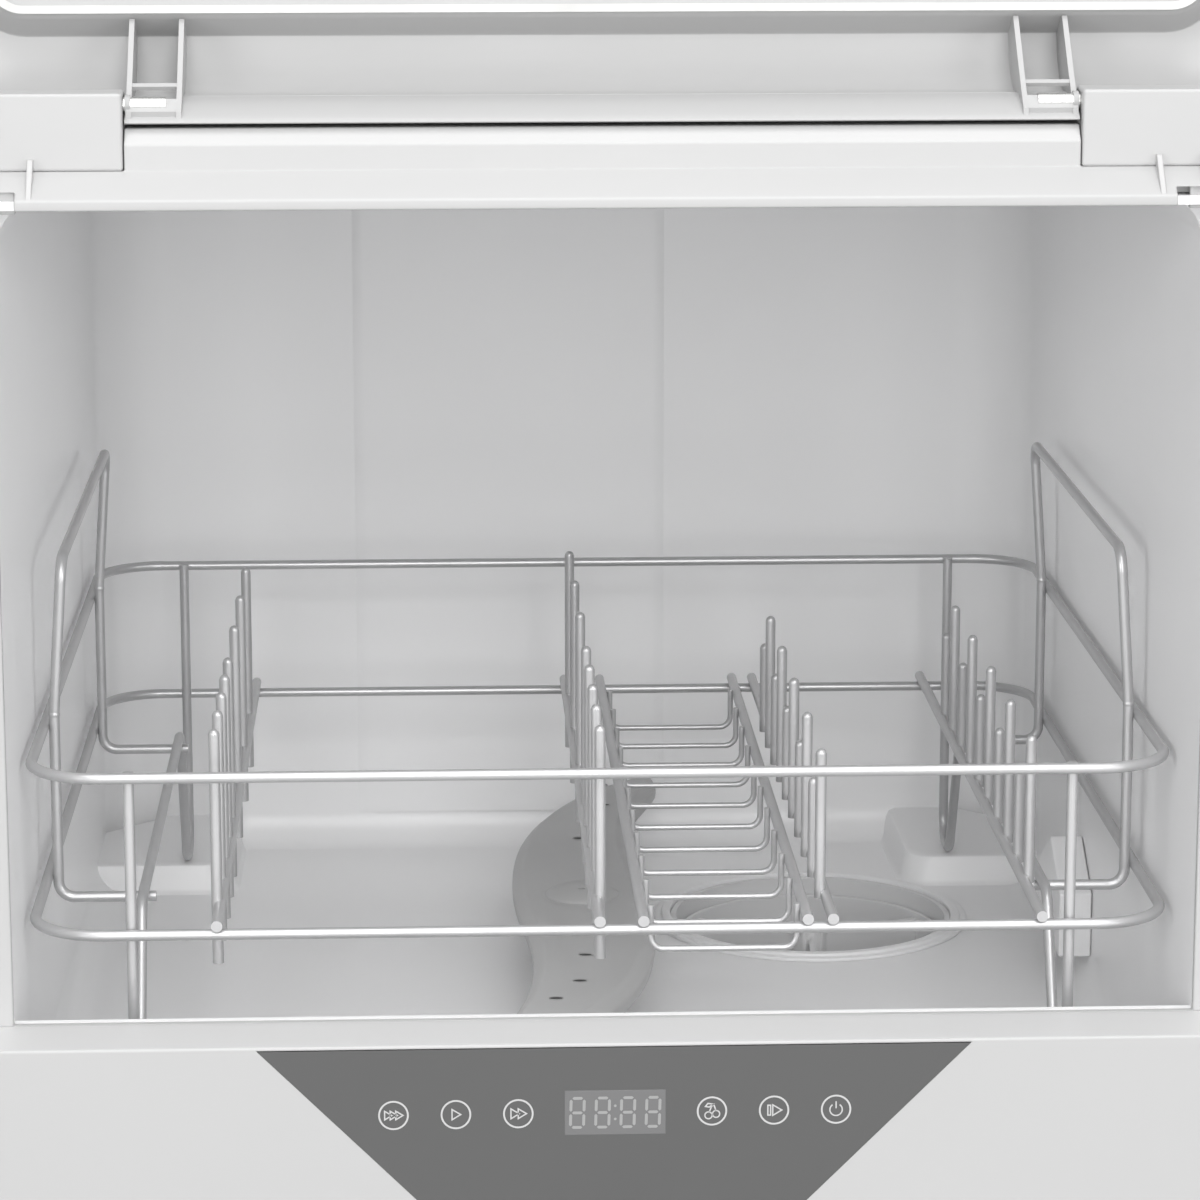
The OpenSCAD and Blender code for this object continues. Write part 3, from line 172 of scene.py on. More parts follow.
def softRubber(name, colour):
    # dull rubber with a fine skin
    finish = Finish(name, colour, 0.7)
    finish.feed("Roughness", 0.55 + 0.25 * finish.noise(120, 4))
    finish.bump(finish.noise(900), 0.15, 0.0004)
    finish.feed("Base Color", finish.tint(finish.noise(60), shade(colour, 0.8), shade(colour, 1.3)))
    return finish.material


def feltMat(name, colour):
    # pressed fibres
    finish = Finish(name, colour, 0.95)
    fibres = finish.noise(1400, 8)
    finish.feed("Base Color", finish.tint(fibres, shade(colour, 0.6), shade(colour, 1.5)))
    finish.bump(fibres, 0.6, 0.001)
    return finish.material


colours = {
    # the grey for the fascia's upper face is the case white made lighter: painted light
    "white": (0.48, 0.48, 0.48), "lining": (0.42, 0.42, 0.42), "ledge": (0.62, 0.62, 0.62),
    # the tub grey is partly the tub's own colour and partly painted light: it is set far above the case
    # white to lift the shade inside the tub
    "tub": (0.908, 0.908, 0.912), "arm": (0.48, 0.48, 0.48), "wire": (0.50, 0.50, 0.505),
    "panel": (0.085, 0.085, 0.085), "ink": (0.52, 0.52, 0.52),
    "display": (0.152, 0.152, 0.154), "digits": (0.31, 0.31, 0.31),
    "steel": (0.6, 0.6, 0.59), "rubber": (0.03, 0.03, 0.03), "seal": (0.62, 0.62, 0.61),
    "pan": (0.1, 0.1, 0.1), "pump": (0.55, 0.54, 0.5), "motor": (0.1, 0.12, 0.14),
    # the spray arm's slot colour on this line is painted shade for their dark insides
    "board": (0.02, 0.13, 0.06), "slotShade": (0.05, 0.05, 0.05), "felt": (0.09, 0.09, 0.085),
}
whiteCase = mouldedPlastic("whiteCase", colours["white"])
liningWhite = mouldedPlastic("liningWhite", colours["lining"], edge=0)
# a lighter copy of the case white for the fascia's upper face: painted light from above
ledgeWhite = mouldedPlastic("ledgeWhite", colours["ledge"])
# the tub, its trim and the filter (a little darker) share the tub grey: partly their own colour, partly
# painted light lifting the shade inside the tub
tubWhiteAndPaintedLight = mouldedPlastic("tubWhiteAndPaintedLight", colours["tub"], 0.34, edge=0, marks=0.012)
tubTrimAndPaintedLight = mouldedPlastic("tubTrimAndPaintedLight", colours["tub"], 0.34)
armGrey = mouldedPlastic("armGrey", colours["arm"], 0.42, edge=0.0012, grain=0.05)
filterGrey = mouldedPlastic("filterGrey", shade(colours["tub"], 0.86), 0.4, edge=0.0005)
panelGrey = mouldedPlastic("panelGrey", colours["panel"], 0.42, edge=0.0002, grain=0.01, marks=0.01)
inkWhite = mouldedPlastic("inkWhite", colours["ink"], 0.5, edge=0.00005, grain=0.0)
displayGlass = mouldedPlastic("displayGlass", colours["display"], 0.2, edge=0.0002, grain=0.0,
                              Coat_Weight=0.3)
segmentLight = mouldedPlastic("segmentLight", colours["digits"], 0.4, edge=0.00005, grain=0.0)
rackWire = satinWire("rackWire", colours["wire"])
steel = bareSteel("steel", colours["steel"])
rubber = softRubber("rubber", colours["rubber"])
sealWhite = softRubber("sealWhite", colours["seal"])
panDark = mouldedPlastic("panDark", colours["pan"], 0.55, grain=0.1)
pumpCream = mouldedPlastic("pumpCream", colours["pump"], 0.5)
motorPaint = mouldedPlastic("motorPaint", colours["motor"], 0.45)
boardGreen = mouldedPlastic("boardGreen", colours["board"], 0.35)
# near-black plugs in the arm's slots: painted shade for their insides
paintedSlotShade = mouldedPlastic("paintedSlotShade", colours["slotShade"], 0.6)
felt = feltMat("felt", colours["felt"])

finishes = {
    whiteCase: ["side_panel_left", "side_panel_right", "rear_panel", "top_cover", "front_frame",
                "hinge_block_left", "hinge_block_right", "fascia", "door_shell", "door_grip"],
    liningWhite: ["door_liner", "door_arms"],
    tubWhiteAndPaintedLight: ["tub"],
    tubTrimAndPaintedLight: ["filter_ring", "arm_post", "vent_hood"],
    panelGrey: ["control_panel"],
    displayGlass: ["display_window"],
    armGrey: ["spray_arm", "arm_cap"],
    filterGrey: ["filter_cup", "sump"],
    rackWire: ["rack_lower_ring", "rack_upper_ring", "rack_runner_left", "rack_runner_right",
               "rack_handle_left", "rack_handle_right", "plate_row_left", "plate_row_middle",
               "plate_row_inner", "plate_row_outer", "cutlery_tray"],
    steel: ["hinge_pins", "screws", "catch_plates", "heater", "door_magnets"],
    rubber: ["feet"],
    sealWhite: ["door_gasket"],
    panDark: ["base_pan", "fan_housing", "fan_rotor", "power_inlet"],
    felt: ["insulation"],
    pumpCream: ["wash_pump_housing", "drain_pump", "drain_rotor", "inlet_valve", "drain_hose",
                "inlet_hose", "drain_fitting", "inlet_fitting"],
    motorPaint: ["wash_pump_motor", "wash_rotor"],
    boardGreen: ["control_board", "power_board"],
}
for material, nodes in finishes.items():
    for node in nodes:
        for slot in frame["nodes"][node].material_slots:
            slot.material = material
print("finishes set")


def addObject(name, data):
    made = bpy.data.objects.new(name, data)
    bpy.context.scene.collection.objects.link(made)
    return made


def meshFrom(name, bm):
    # a mesh whose faces look outwards; it uses the bmesh up
    mesh = bpy.data.meshes.new(name)
    bmesh.ops.recalc_face_normals(bm, faces=bm.faces)
    bm.to_mesh(mesh)
    bm.free()
    return mesh


def smoothFaces(mesh):
    for face in mesh.polygons:
        face.use_smooth = True


def newPiece(name, bm, material, node, replaces=True, smooth=35):
    # a mesh object that rides with a node's body and takes its finish
    mesh = meshFrom(name, bm)
    piece = addObject(name, mesh)
    mesh.materials.append(material)
    smoothFaces(mesh)
    mesh.set_sharp_from_angle(angle=radians(smooth))
    even = piece.modifiers.new("evenNormals", "WEIGHTED_NORMAL")
    even.keep_sharp = True
    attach(piece, bodyOf[node])
    if replaces:
        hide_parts(node)
    return piece


def circlePoints(x, y, r, start=0, sweep=tau, steps=32):
    # a circle, or an arc with both of its ends
    count = steps if sweep == tau else steps + 1
    angles = [start + sweep * i / steps for i in range(count)]
    return [(x + r * cos(a), y + r * sin(a)) for a in angles]


def quarterPoints(x, y, r, start, steps, turn=90):
    # a quarter circle with both of its ends, from an angle in degrees
    angles = [radians(start + turn * i / steps) for i in range(steps + 1)]
    return [(x + r * cos(a), y + r * sin(a)) for a in angles]


def roundedOutline(half, low, high, r, steps=10):
    # a rectangle with round corners in the X-Z plane, anticlockwise
    points = []
    for x, z, start in ((half - r, high - r, 0), (-half + r, high - r, 90),
                        (-half + r, low + r, 180), (half - r, low + r, 270)):
        points += quarterPoints(x, z, r, start, steps)
    return points


def mirroredSpan(side, near, far):
    # from and to along X, for the left side, -1, or the right side, 1
    return sorted((side * near, side * far))


def joinLoops(bm, first, second):
    # a band of faces between two closed loops of vertices
    for i in range(len(first)):
        j = (i + 1) % len(first)
        bm.faces.new((first[i], first[j], second[j], second[i]))


def addSlab(bm, first, last):
    # a solid between two outlines
    first = [bm.verts.new(point) for point in first]
    last = [bm.verts.new(point) for point in last]
    joinLoops(bm, first, last)
    bm.faces.new(first)
    bm.faces.new(last[::-1])


def addPrism(bm, outline, y0, y1):
    # a flat shape in the X-Z plane, given from y0 to y1
    addSlab(bm, [(x, y0, z) for x, z in outline], [(x, y1, z) for x, z in outline])


def addSection(bm, outline, x0, x1):
    # a flat shape in the Y-Z plane drawn along X
    addSlab(bm, [(x0, y, z) for y, z in outline], [(x1, y, z) for y, z in outline])


def loftRows(bm, rows):
    # closed skin through outlines given as points and a height
    made = [[bm.verts.new((x, y, z)) for x, y in points] for points, z in rows]
    for a, b in zip(made, made[1:]):
        joinLoops(bm, a, b)
    bm.faces.new(made[0][::-1])
    bm.faces.new(made[-1])


def addRibbon(bm, points, width, y0, y1, closed=False):
    # a printed line of even width that follows points in the X-Z plane
    count = len(points)
    left, right = [], []
    for i, (x, z) in enumerate(points):
        before = points[i - 1] if closed or i > 0 else points[i]
        after = points[(i + 1) % count] if closed or i < count - 1 else points[i]
        a = Vector((x - before[0], z - before[1]))
        b = Vector((after[0] - x, after[1] - z))
        a = a.normalized() if a.length else b.normalized()
        b = b.normalized() if b.length else a
        normal = Vector((-(a + b).y, (a + b).x)).normalized()
        # the least share keeps a sharp corner from running out into a spike
        reach = width / 2 / max(0.4, normal.dot(Vector((-a.y, a.x))))
        left.append((x + normal.x * reach, z + normal.y * reach))
        right.append((x - normal.x * reach, z - normal.y * reach))
    for i in range(count if closed else count - 1):
        j = (i + 1) % count
        addPrism(bm, [left[i], left[j], right[j], right[i]], y0, y1)


# edges sharper than this angle and longer than this length are rounded, by a width for each node
softCase = {
    "angle": 40, "longerThan": 0.0012, "steps": 2, "sameSpot": 0.00002, "flatWithin": 1.5,
    "widths": {"hinge_block_left": 0.0009, "hinge_block_right": 0.0009, "front_frame": 0.0005,
               "top_cover": 0.0005, "filter_ring": 0.0004, "filter_cup": 0.0003,
               "vent_hood": 0.0006, "base_pan": 0.0005, "feet": 0.0008},
}


def softened(node, width):
    # the CAD mesh with its longer sharp edges rounded off; it takes the node's place
    d = softCase
    source = frame["nodes"][node]
    bm = bmesh.new()
    bm.from_mesh(source.data)
    bmesh.ops.remove_doubles(bm, verts=bm.verts, dist=d["sameSpot"])
    bmesh.ops.dissolve_limit(bm, angle_limit=radians(d["flatWithin"]), verts=bm.verts, edges=bm.edges)
    edges = [e for e in bm.edges if e.is_manifold and e.calc_face_angle(0) > radians(d["angle"])
             and e.calc_length() > d["longerThan"]]
    bmesh.ops.bevel(bm, geom=edges, offset=width, offset_type="OFFSET", segments=d["steps"],
                    profile=0.5, affect="EDGES", clamp_overlap=False)
    bmesh.ops.triangulate(bm, faces=[f for f in bm.faces if len(f.verts) > 4])
    newPiece(node + "Soft", bm, source.material_slots[0].material, node)


for node, width in softCase["widths"].items():
    softened(node, width)
print("case softened")

# the spray arm is an S seen from above; heights count from the blade's underside or its face
arm = {
    "y": -0.005, "hubDrop": 0.007, "thick": 0.009, "stations": 72,
    "half": 0.160, "reach": 0.985, "middle": 0.0226, "taper": 0.068, "ease": 0.02, "tipPower": 8,
    "bend": (9.66, 0.0574), "narrow": 0.009,
    # round flank, sloping rim and flat top: how far in from the side, and how high
    "flank": [(0.004, 0), (0.0014, 0.0007), (0.0003, 0.0021), (0, 0.0035), (0.0001, 0.0056),
              (0.0006, 0.0063), (0.0032, 0.0084), (0.0038, 0.0088), (0.0046, 0.009)],
    "hubR": 0.015, "hubBore": 0.0075, "hubRise": 0.0002, "hubFoot": 0.001,
    "hubEdge": [(0, 0.0015), (0.0005, 0.0005), (0.0016, 0)],
    "capR": 0.0125, "capHole": 0.001, "capHigh": 0.0021, "capSink": 0.001, "capEdge": 0.0003,
    "capSlope": 0.003,
    # slots: distance from the hub, and how far off the blade's middle line
    "slots": [(0.071, 0.0022), (0.099, 0.0007), (0.117, 0.0037), (0.146, -0.009)],
    "extraSlot": (0.007, -0.011),
    "rim": ((0.0026, 0.0018), (0.0018, 0.0011)), "rimHeights": (-0.0012, 0.0004),
    "well": (0.0019, 0.0012), "wellHeights": (-0.0010, 0.0002),
}


def armBend(s):
    cubic, linear = arm["bend"]
    return cubic * s ** 3 - linear * s


def armWidth(s):
    away = sqrt(s * s + arm["ease"] ** 2) - arm["ease"]
    tip = sqrt(max(0, 1 - (s / arm["half"]) ** arm["tipPower"]))
    return (arm["middle"] - arm["taper"] * away) * tip


def turnProfile(bm, profile, steps=48):
    # a closed outline of radius and height turned about the arm's axis
    rings = []
    for i in range(steps):
        a = tau * i / steps
        rings.append([bm.verts.new((r * cos(a), arm["y"] + r * sin(a), z)) for r, z in profile])
    for i in range(steps):
        joinLoops(bm, rings[i], rings[(i + 1) % steps])


def addOval(bm, centre, outer, inner, z0, z1, steps=24):
    # an upright oval plug, or a rim where an inner oval is given
    def row(size, z):
        turns = [tau * i / steps for i in range(steps)]
        return [bm.verts.new((centre[0] + size[0] * cos(a), centre[1] + size[1] * sin(a), z))
                for a in turns]

    middle = outer if inner is None else tuple((o + i) / 2 for o, i in zip(outer, inner))
    foot, lip = row(outer, z0), row(middle, z1)
    joinLoops(bm, foot, lip)
    if inner is None:
        bm.faces.new(lip)
        bm.faces.new(foot[::-1])
        return
    well = row(inner, z0)
    joinLoops(bm, lip, well)
    joinLoops(bm, well, foot)


def buildArm():
    d = arm
    low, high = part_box("spray_arm")
    under = low.z + d["hubDrop"]
    face = under + d["thick"]

    bm = bmesh.new()
    rings = []
    for i in range(d["stations"] + 1):
        s = d["half"] * d["reach"] * sin(pi * (i / d["stations"] - 0.5))
        half = armWidth(s)
        share = min(1, half / d["narrow"])
        right = [(half - share * inset, z) for inset, z in d["flank"]]
        ring = right + [(-x, z) for x, z in reversed(right)]
        rings.append([bm.verts.new((armBend(s) + x, d["y"] + s, under + z)) for x, z in ring])
    for a, b in zip(rings, rings[1:]):
        joinLoops(bm, a, b)
    bm.faces.new(rings[0])
    bm.faces.new(rings[-1][::-1])
    newPiece("armBlade", bm, armGrey, "spray_arm", smooth=24)

    bm = bmesh.new()
    r, bore, foot, top = d["hubR"], d["hubBore"], d["hubFoot"], face + d["hubRise"]
    profile = [(bore, low.z), (r - foot, low.z), (r, low.z + foot)]
    profile += [(r - inset, top - drop) for inset, drop in d["hubEdge"]] + [(bore, top)]
    turnProfile(bm, profile)
    newPiece("armHub", bm, armGrey, "spray_arm", replaces=False)

    bm = bmesh.new()
    r, hole, sunk, top = d["capR"], d["capHole"], face - d["capSink"], face + d["capHigh"]
    turnProfile(bm, [(hole, sunk), (r, sunk), (r, face + d["capEdge"]), (r - d["capSlope"], top),
                     (hole, top)])
    newPiece("armCap", bm, armGrey, "arm_cap")

    # each slot is a rim of arm grey round a near-black plug at the blade's face: painted shade where the
    # slot's inside would be
    rims, shadePlugs = bmesh.new(), bmesh.new()
    places = [(side * (armBend(s) + off), d["y"] + side * s)
              for side in (-1, 1) for s, off in d["slots"]]
    for place in places + [d["extraSlot"]]:
        addOval(rims, place, *d["rim"], *(face + z for z in d["rimHeights"]))
        addOval(shadePlugs, place, d["well"], None, *(face + z for z in d["wellHeights"]))
    newPiece("nozzleRims", rims, armGrey, "spray_arm", replaces=False)
    newPiece("nozzleSlotShade", shadePlugs, paintedSlotShade, "spray_arm", replaces=False)


buildArm()
print("spray arm done")

# sizes in the closed door's own frame: Y from the hinge axis to the cabinet, Z up
lining = {
    "axis": (-0.178, 0.426), "opened": -185, "half": 0.2062, "foot": -0.2617, "base": -0.030,
    "skin": 0.002, "fieldHalf": 0.177, "fieldLow": -0.2557, "fieldTop": -0.025, "draft": 0.0045,
    "corner": 0.016, "coveR": 0.0175, "coveTop": -0.020, "coveSteps": 14, "returnY": -0.009,
    "overlap": (0.001, 0.0002), "knuckle": 0.1355, "barrel": 0.0030, "bossIn": 0.1340,
    # lip between the hinge blocks, from the hollow's inside round to its outside
    "apron": [(-0.0060, -0.0017), (-0.0030, -0.0004), (0.0000, 0.0013), (0.0028, 0.0032),
              (0.0043, 0.0045), (0.0044, 0.0050), (0.0039, 0.0053), (0.0024, 0.0050),
              (0.0006, 0.0046), (-0.0010, 0.0034), (-0.0040, 0.0020)],
    # side of the raised field: how far it rises, and how far it lies outside the drafted line
    "fieldSide": [(-0.0006, 0.0022), (0, 0.0010), (0.0006, 0.0003), (0.0016, 0),
                  (0.0084, -0.00369), (0.0094, -0.0046), (0.0100, -0.0053), (0.0102, -0.0062)],
}
brackets = {
    "inside": (0.1195, 0.1352), "web": 0.0015, "barIn": 0.001, "clear": 0.0004, "coveSteps": 10,
    "edge": [(0.0034, 0.0018), (-0.0016, -0.0034), (-0.0074, -0.0099), (-0.0198, -0.0245),
             (-0.0294, -0.0245)],
    "tip": [(0.0000, 0.0016), (0.0034, 0.0040)],
    "bars": [[(-0.0046, -0.0062), (-0.0036, -0.0052), (-0.0044, -0.0042), (-0.0054, -0.0052)],
             [(0.0000, -0.0018), (0.0032, 0.0018), (0.0028, 0.0032), (-0.0006, 0.0004)]],
}


def swingOpen(bm):
    # from the closed door's own frame to the open door's place
    turn = Matrix.Rotation(radians(lining["opened"]), 4, "X")
    bm.transform(Matrix.Translation((0, *lining["axis"])) @ turn)


def buildLining():
    d = lining
    bm = bmesh.new()
    # plate, hollow curve and return, as one section drawn along the door's width
    y, z, r, t = d["base"] + d["coveR"], d["coveTop"], d["coveR"], d["skin"]
    inner = [(d["base"], d["foot"]), *quarterPoints(y, z, r, 180, d["coveSteps"], -90),
             (d["returnY"], z + r)]
    outer = [(d["returnY"], z + r + t),
             *quarterPoints(y, z, r + t, 180, d["coveSteps"], -90)[::-1], (d["base"] - t, d["foot"])]
    addSection(bm, inner + outer, -d["half"], d["half"])
    # the hollow runs on over the hinge to a lip between the hinge blocks
    back, down = d["overlap"]
    lip = [(d["returnY"] - back, z + r - down), *d["apron"], (d["returnY"] - back, z + r + t)]
    addSection(bm, lip, -d["knuckle"], d["knuckle"])
    for side in (-1, 1):
        addSection(bm, circlePoints(0, 0, d["barrel"]), *mirroredSpan(side, d["bossIn"], d["knuckle"]))
    # raised field: a flare at its foot, drafted sides, a rounded edge and a flat face
    rows = []
    for rise, grow in d["fieldSide"]:
        out = grow + d["draft"]
        outline = roundedOutline(d["fieldHalf"] + out, d["fieldLow"] - out, d["fieldTop"] + out,
                                 d["corner"] + grow)
        rows.append([bm.verts.new((x, d["base"] + rise, height)) for x, height in outline])
    for a, b in zip(rows, rows[1:]):
        joinLoops(bm, a, b)
    bm.faces.new(rows[-1])
    swingOpen(bm)
    newPiece("doorLining", bm, liningWhite, "door_liner", smooth=40)


def buildBrackets():
    # two channels with thin walls, a cross bar and a small plate over the hinge
    d, b = lining, brackets
    y, z, r = d["base"] + d["coveR"], d["coveTop"], d["coveR"] + b["clear"]
    web = [*b["edge"], *quarterPoints(y, z, r, 180, b["coveSteps"], -90), (d["returnY"], z + r), *b["tip"]]
    near, far = b["inside"]
    bm = bmesh.new()
    for side in (-1, 1):
        for x in (near, far - b["web"]):
            addSection(bm, web, *mirroredSpan(side, x, x + b["web"]))
        for bar in b["bars"]:
            addSection(bm, bar, *mirroredSpan(side, near + b["barIn"], far - b["barIn"]))
    swingOpen(bm)
    newPiece("doorBrackets", bm, liningWhite, "door_arms", smooth=40)


buildLining()
buildBrackets()
print("door lining done")

# panelUnder and panelBelow move the grey panel's upper and lower edge against the CAD's
fascia = {
    "edge": 0.0008, "corner": 0.003, "leastCorner": 0.0004, "steps": 5, "wall": 0.003,
    "pocket": 0.0012, "pocketGap": 0.0003, "ledgeLevel": 0.95, "ledgeSkin": 0.0003,
    "panelUnder": 0.0006, "panelBelow": 0.004,
}


def panelCorners(grow=0):
    # the grey panel's outline, hanging from the fascia's upper edge
    low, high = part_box("control_panel")
    cut = max(0, high.z - (fasciaHigh.z - fascia["edge"] - fascia["panelUnder"]))
    middle, half = (low.x + high.x) / 2, (high.x - low.x) / 2 - cut + grow
    top, drop = high.z - cut + grow, high.z - cut - low.z + grow + fascia["panelBelow"]
    return [(middle - half, top), (middle - half + drop, top - drop),
            (middle + half - drop, top - drop), (middle + half, top)]


def buildFascia():
    d = fascia
    low, high = fasciaLow, fasciaHigh
    bm = bmesh.new()

    def loop(y, inset):
        corner = max(d["leastCorner"], d["corner"] - inset)
        points = roundedOutline(high.x - inset, low.z + inset, high.z - inset, corner, d["steps"])
        return [bm.verts.new((x, y, z)) for x, z in points]

    # outside: skirt, rounded edge, front face with the panel's pocket, then the hollow behind
    rows = [loop(high.y, 0)]
    for i in range(d["steps"] + 1):
        a = pi / 2 * i / d["steps"]
        rows.append(loop(low.y + d["edge"] * (1 - sin(a)), d["edge"] * (1 - cos(a))))
    for a, b in zip(rows, rows[1:]):
        joinLoops(bm, a, b)
    edge = [e for e in bm.edges if e.verts[0] in rows[-1] and e.verts[1] in rows[-1]]
    corners = panelCorners(d["pocketGap"])
    rim = [bm.verts.new((x, low.y, z)) for x, z in corners]
    floor = [bm.verts.new((x, low.y + d["pocket"], z)) for x, z in corners]
    rimEdges = [bm.edges.new((rim[i], rim[(i + 1) % 4])) for i in range(4)]
    bmesh.ops.triangle_fill(bm, use_beauty=True, use_dissolve=False, edges=edge + rimEdges)
    joinLoops(bm, rim, floor)
    bm.faces.new(floor)
    back = loop(high.y, d["wall"])
    deep = loop(low.y + d["wall"], d["wall"])
    joinLoops(bm, rows[0][::-1], back[::-1])
    joinLoops(bm, back, deep)
    bm.faces.new(deep)
    shell = newPiece("fasciaShell", bm, whiteCase, "fascia", smooth=40)
    # the upper face takes a lighter copy of the case white: painted light falling from above
    shell.data.materials.append(ledgeWhite)
    for face in shell.data.polygons:
        if face.normal.z > d["ledgeLevel"] and face.center.z > high.z - d["ledgeSkin"]:
            face.material_index = 1


# ribs on the sloped strip over the mouth, and the closed floors of its small notches
stripEnds = {
    "ribs": (-0.175, -0.162, 0.158, 0.171), "thick": 0.0016,
    "outline": [(-0.1958, 0.4008), (-0.1946, 0.4024), (-0.186, 0.4115), (-0.185, 0.4115),
                (-0.185, 0.4063), (-0.1938, 0.4002)],
    "notchIn": 0.0068, "notchOut": 0.0012, "notchLow": 0.3968, "notchHigh": 0.4035,
    "notchFront": -0.1912, "notchBack": -0.1885,
}


def buildStripEnds():
    d = stripEnds
    bm = bmesh.new()
    for x in d["ribs"]:
        addSection(bm, d["outline"], x - d["thick"] / 2, x + d["thick"] / 2)
    for side in (-1, 1):
        x0, x1 = mirroredSpan(side, tubHalf - d["notchIn"], tubHalf + d["notchOut"])
        outline = [(x0, d["notchLow"]), (x1, d["notchLow"]), (x1, d["notchHigh"]), (x0, d["notchHigh"])]
        addPrism(bm, outline, d["notchFront"], d["notchBack"])
    newPiece("stripEnds", bm, whiteCase, "front_frame", replaces=False)


tub = {
    "front": -0.193, "top": 0.398, "corner": 0.026, "leastCorner": 0.004, "cornerSteps": 12,
    "fillet": 0.012, "filletSteps": 8, "frontEase": 0.35, "mouthOut": 0.01, "mouthIn": 0.02,
    # holes in the floor: X, Y and radius
    "sump": (0.085, 0.077, 0.0503), "post": (0, -0.005, 0.0093), "holeHeights": (-0.01, 0.004),
    # pads for the rack's feet, with how high and how far in the rows of their sides are
    "padIn": 0.050, "padBack": 0.117, "padFront": -0.1425, "padRound": 0.010, "padBury": 0.001,
    "padSide": [(-0.001, -0.003), (0.0006, -0.0012), (0.002, -0.0003), (0.008, 0.0012),
                (0.010, 0.0022), (0.011, 0.0042)],
    # raised field of the back wall
    "field": (-0.074, 0.034), "slope": 0.0055, "deep": 0.0015, "bury": 0.0005,
}


def tubOutline(inset, front):
    # the tub seen from above: square at the front, round at the back
    half, back = tubHalf - inset, tubBackY - inset
    r = max(tub["leastCorner"], tub["corner"] - inset)
    return [(-half, front), (half, front), *quarterPoints(half - r, back - r, r, 0, tub["cornerSteps"]),
            *quarterPoints(-half + r, back - r, r, 90, tub["cornerSteps"])]


def padOutline(side, y0, y1, inset, open0, open1):
    # a pad seen from above; an open end runs into a wall or to the mouth
    x0, x1 = tubHalf - tub["padIn"] + inset, tubHalf + tub["padBury"]
    y0 += 0 if open0 else inset
    y1 -= 0 if open1 else inset
    r = tub["padRound"]
    points = [(x1, y0), (x1, y1)]
    if open1:
        points = [(x1, y0), (x1, y1 - tub["corner"]), (x1 - tub["corner"], y1)]
    for y, start, opened in ((y1 - r, 90, open1), (y0 + r, 180, open0)):
        if opened:
            points.append((x0, y1 if start == 90 else y0))
        else:
            points += quarterPoints(x0 + r, y, r, start, 8)
    return [(side * x, y) for x, y in points]


def solidObject(name, build):
    bm = bmesh.new()
    build(bm)
    return addObject(name, meshFrom(name, bm))


def carved(base, cutters):
    # the base with the cutters taken out of it, as a bmesh; all of them are removed
    for cutter in cutters:
        cut = base.modifiers.new("cut", "BOOLEAN")
        cut.operation = "DIFFERENCE"
        cut.solver = "EXACT"
        cut.object = cutter
    bpy.context.view_layer.update()
    result = base.evaluated_get(bpy.context.evaluated_depsgraph_get()).to_mesh()
    bm = bmesh.new()
    bm.from_mesh(result)
    for thing in [base, *cutters]:
        mesh = thing.data
        bpy.data.objects.remove(thing)
        bpy.data.meshes.remove(mesh)
    return bm


def buildTub():
    d = tub
    f, steps = d["fillet"], d["filletSteps"]

    def outer(bm):
        outline = tubOutline(-tubWall, d["front"])
        loftRows(bm, [(outline, floorZ - tubWall), (outline, d["top"] + tubWall)])

    def inner(bm):
        front = d["front"] + tubWall
        rows = []
        for i in range(steps + 1):
            a = pi / 2 * i / steps
            away = 1 - sin(a)
            rows.append((tubOutline(f * away, front + f * d["frontEase"] * away),
                         floorZ + f * (1 - cos(a))))
        top = [(points, d["top"] + floorZ - z) for points, z in rows]
        loftRows(bm, rows + top[::-1])

    def mouth(bm):
        y0, y1 = d["front"] - d["mouthOut"], d["front"] + d["mouthIn"]
        outline = [(-tubHalf, y0), (tubHalf, y0), (tubHalf, y1), (-tubHalf, y1)]
        loftRows(bm, [(outline, rimZ), (outline, d["top"])])

    def hole(x, y, r):
        outline = circlePoints(x, y, r, steps=64)
        return lambda bm: loftRows(bm, [(outline, floorZ + z) for z in d["holeHeights"]])

    shapes = (inner, mouth, hole(*d["sump"]), hole(*d["post"]))
    cutters = [solidObject("cut", shape) for shape in shapes]
    bm = carved(solidObject("tubBody", outer), cutters)
    ends = ((d["padBack"], tubBackY + d["padBury"], False, True),
            (d["front"] + d["padBury"], d["padFront"], True, False))
    for side in (-1, 1):
        for y0, y1, open0, open1 in ends:
            loftRows(bm, [(padOutline(side, y0, y1, inset, open0, open1), floorZ + rise)
                          for rise, inset in d["padSide"]])
    low, high = d["field"]
    section = [(low - d["slope"], d["bury"]), (low, -d["deep"]), (high, -d["deep"]),
               (high + d["slope"], d["bury"])]
    outline = [(x, tubBackY + y) for x, y in section]
    loftRows(bm, [(outline, floorZ + f), (outline, d["top"] - f)])
    newPiece("tubShell", bm, tubWhiteAndPaintedLight, "tub", smooth=32)


buildFascia()
buildStripEnds()
buildTub()
print("fascia and tub done")

# the print lies this deep in front of the film; a key is its place along the panel and its symbol
panel = {
    "keyZ": rimZ - 0.021, "keyR": 0.00415, "line": 0.00052, "thin": 0.00038, "printDepth": 0.00004,
    "keys": [(-0.064, "triple"), (-0.046, "single"), (-0.028, "double"), (0.028, "fruit"),
             (0.046, "start"), (0.064, "power")],
}
display = {
    "digits": 4, "wide": 0.0038, "high": 0.0088, "bar": 0.00085, "gap": 0.00035, "slant": 0.03,
    "colon": 0.002, "dotR": 0.0004, "paneBack": 0.0004,
}


def triangle(x, size):
    return [(x - size * 0.45, size * 0.62), (x + size * 0.55, 0), (x - size * 0.45, -size * 0.62)]


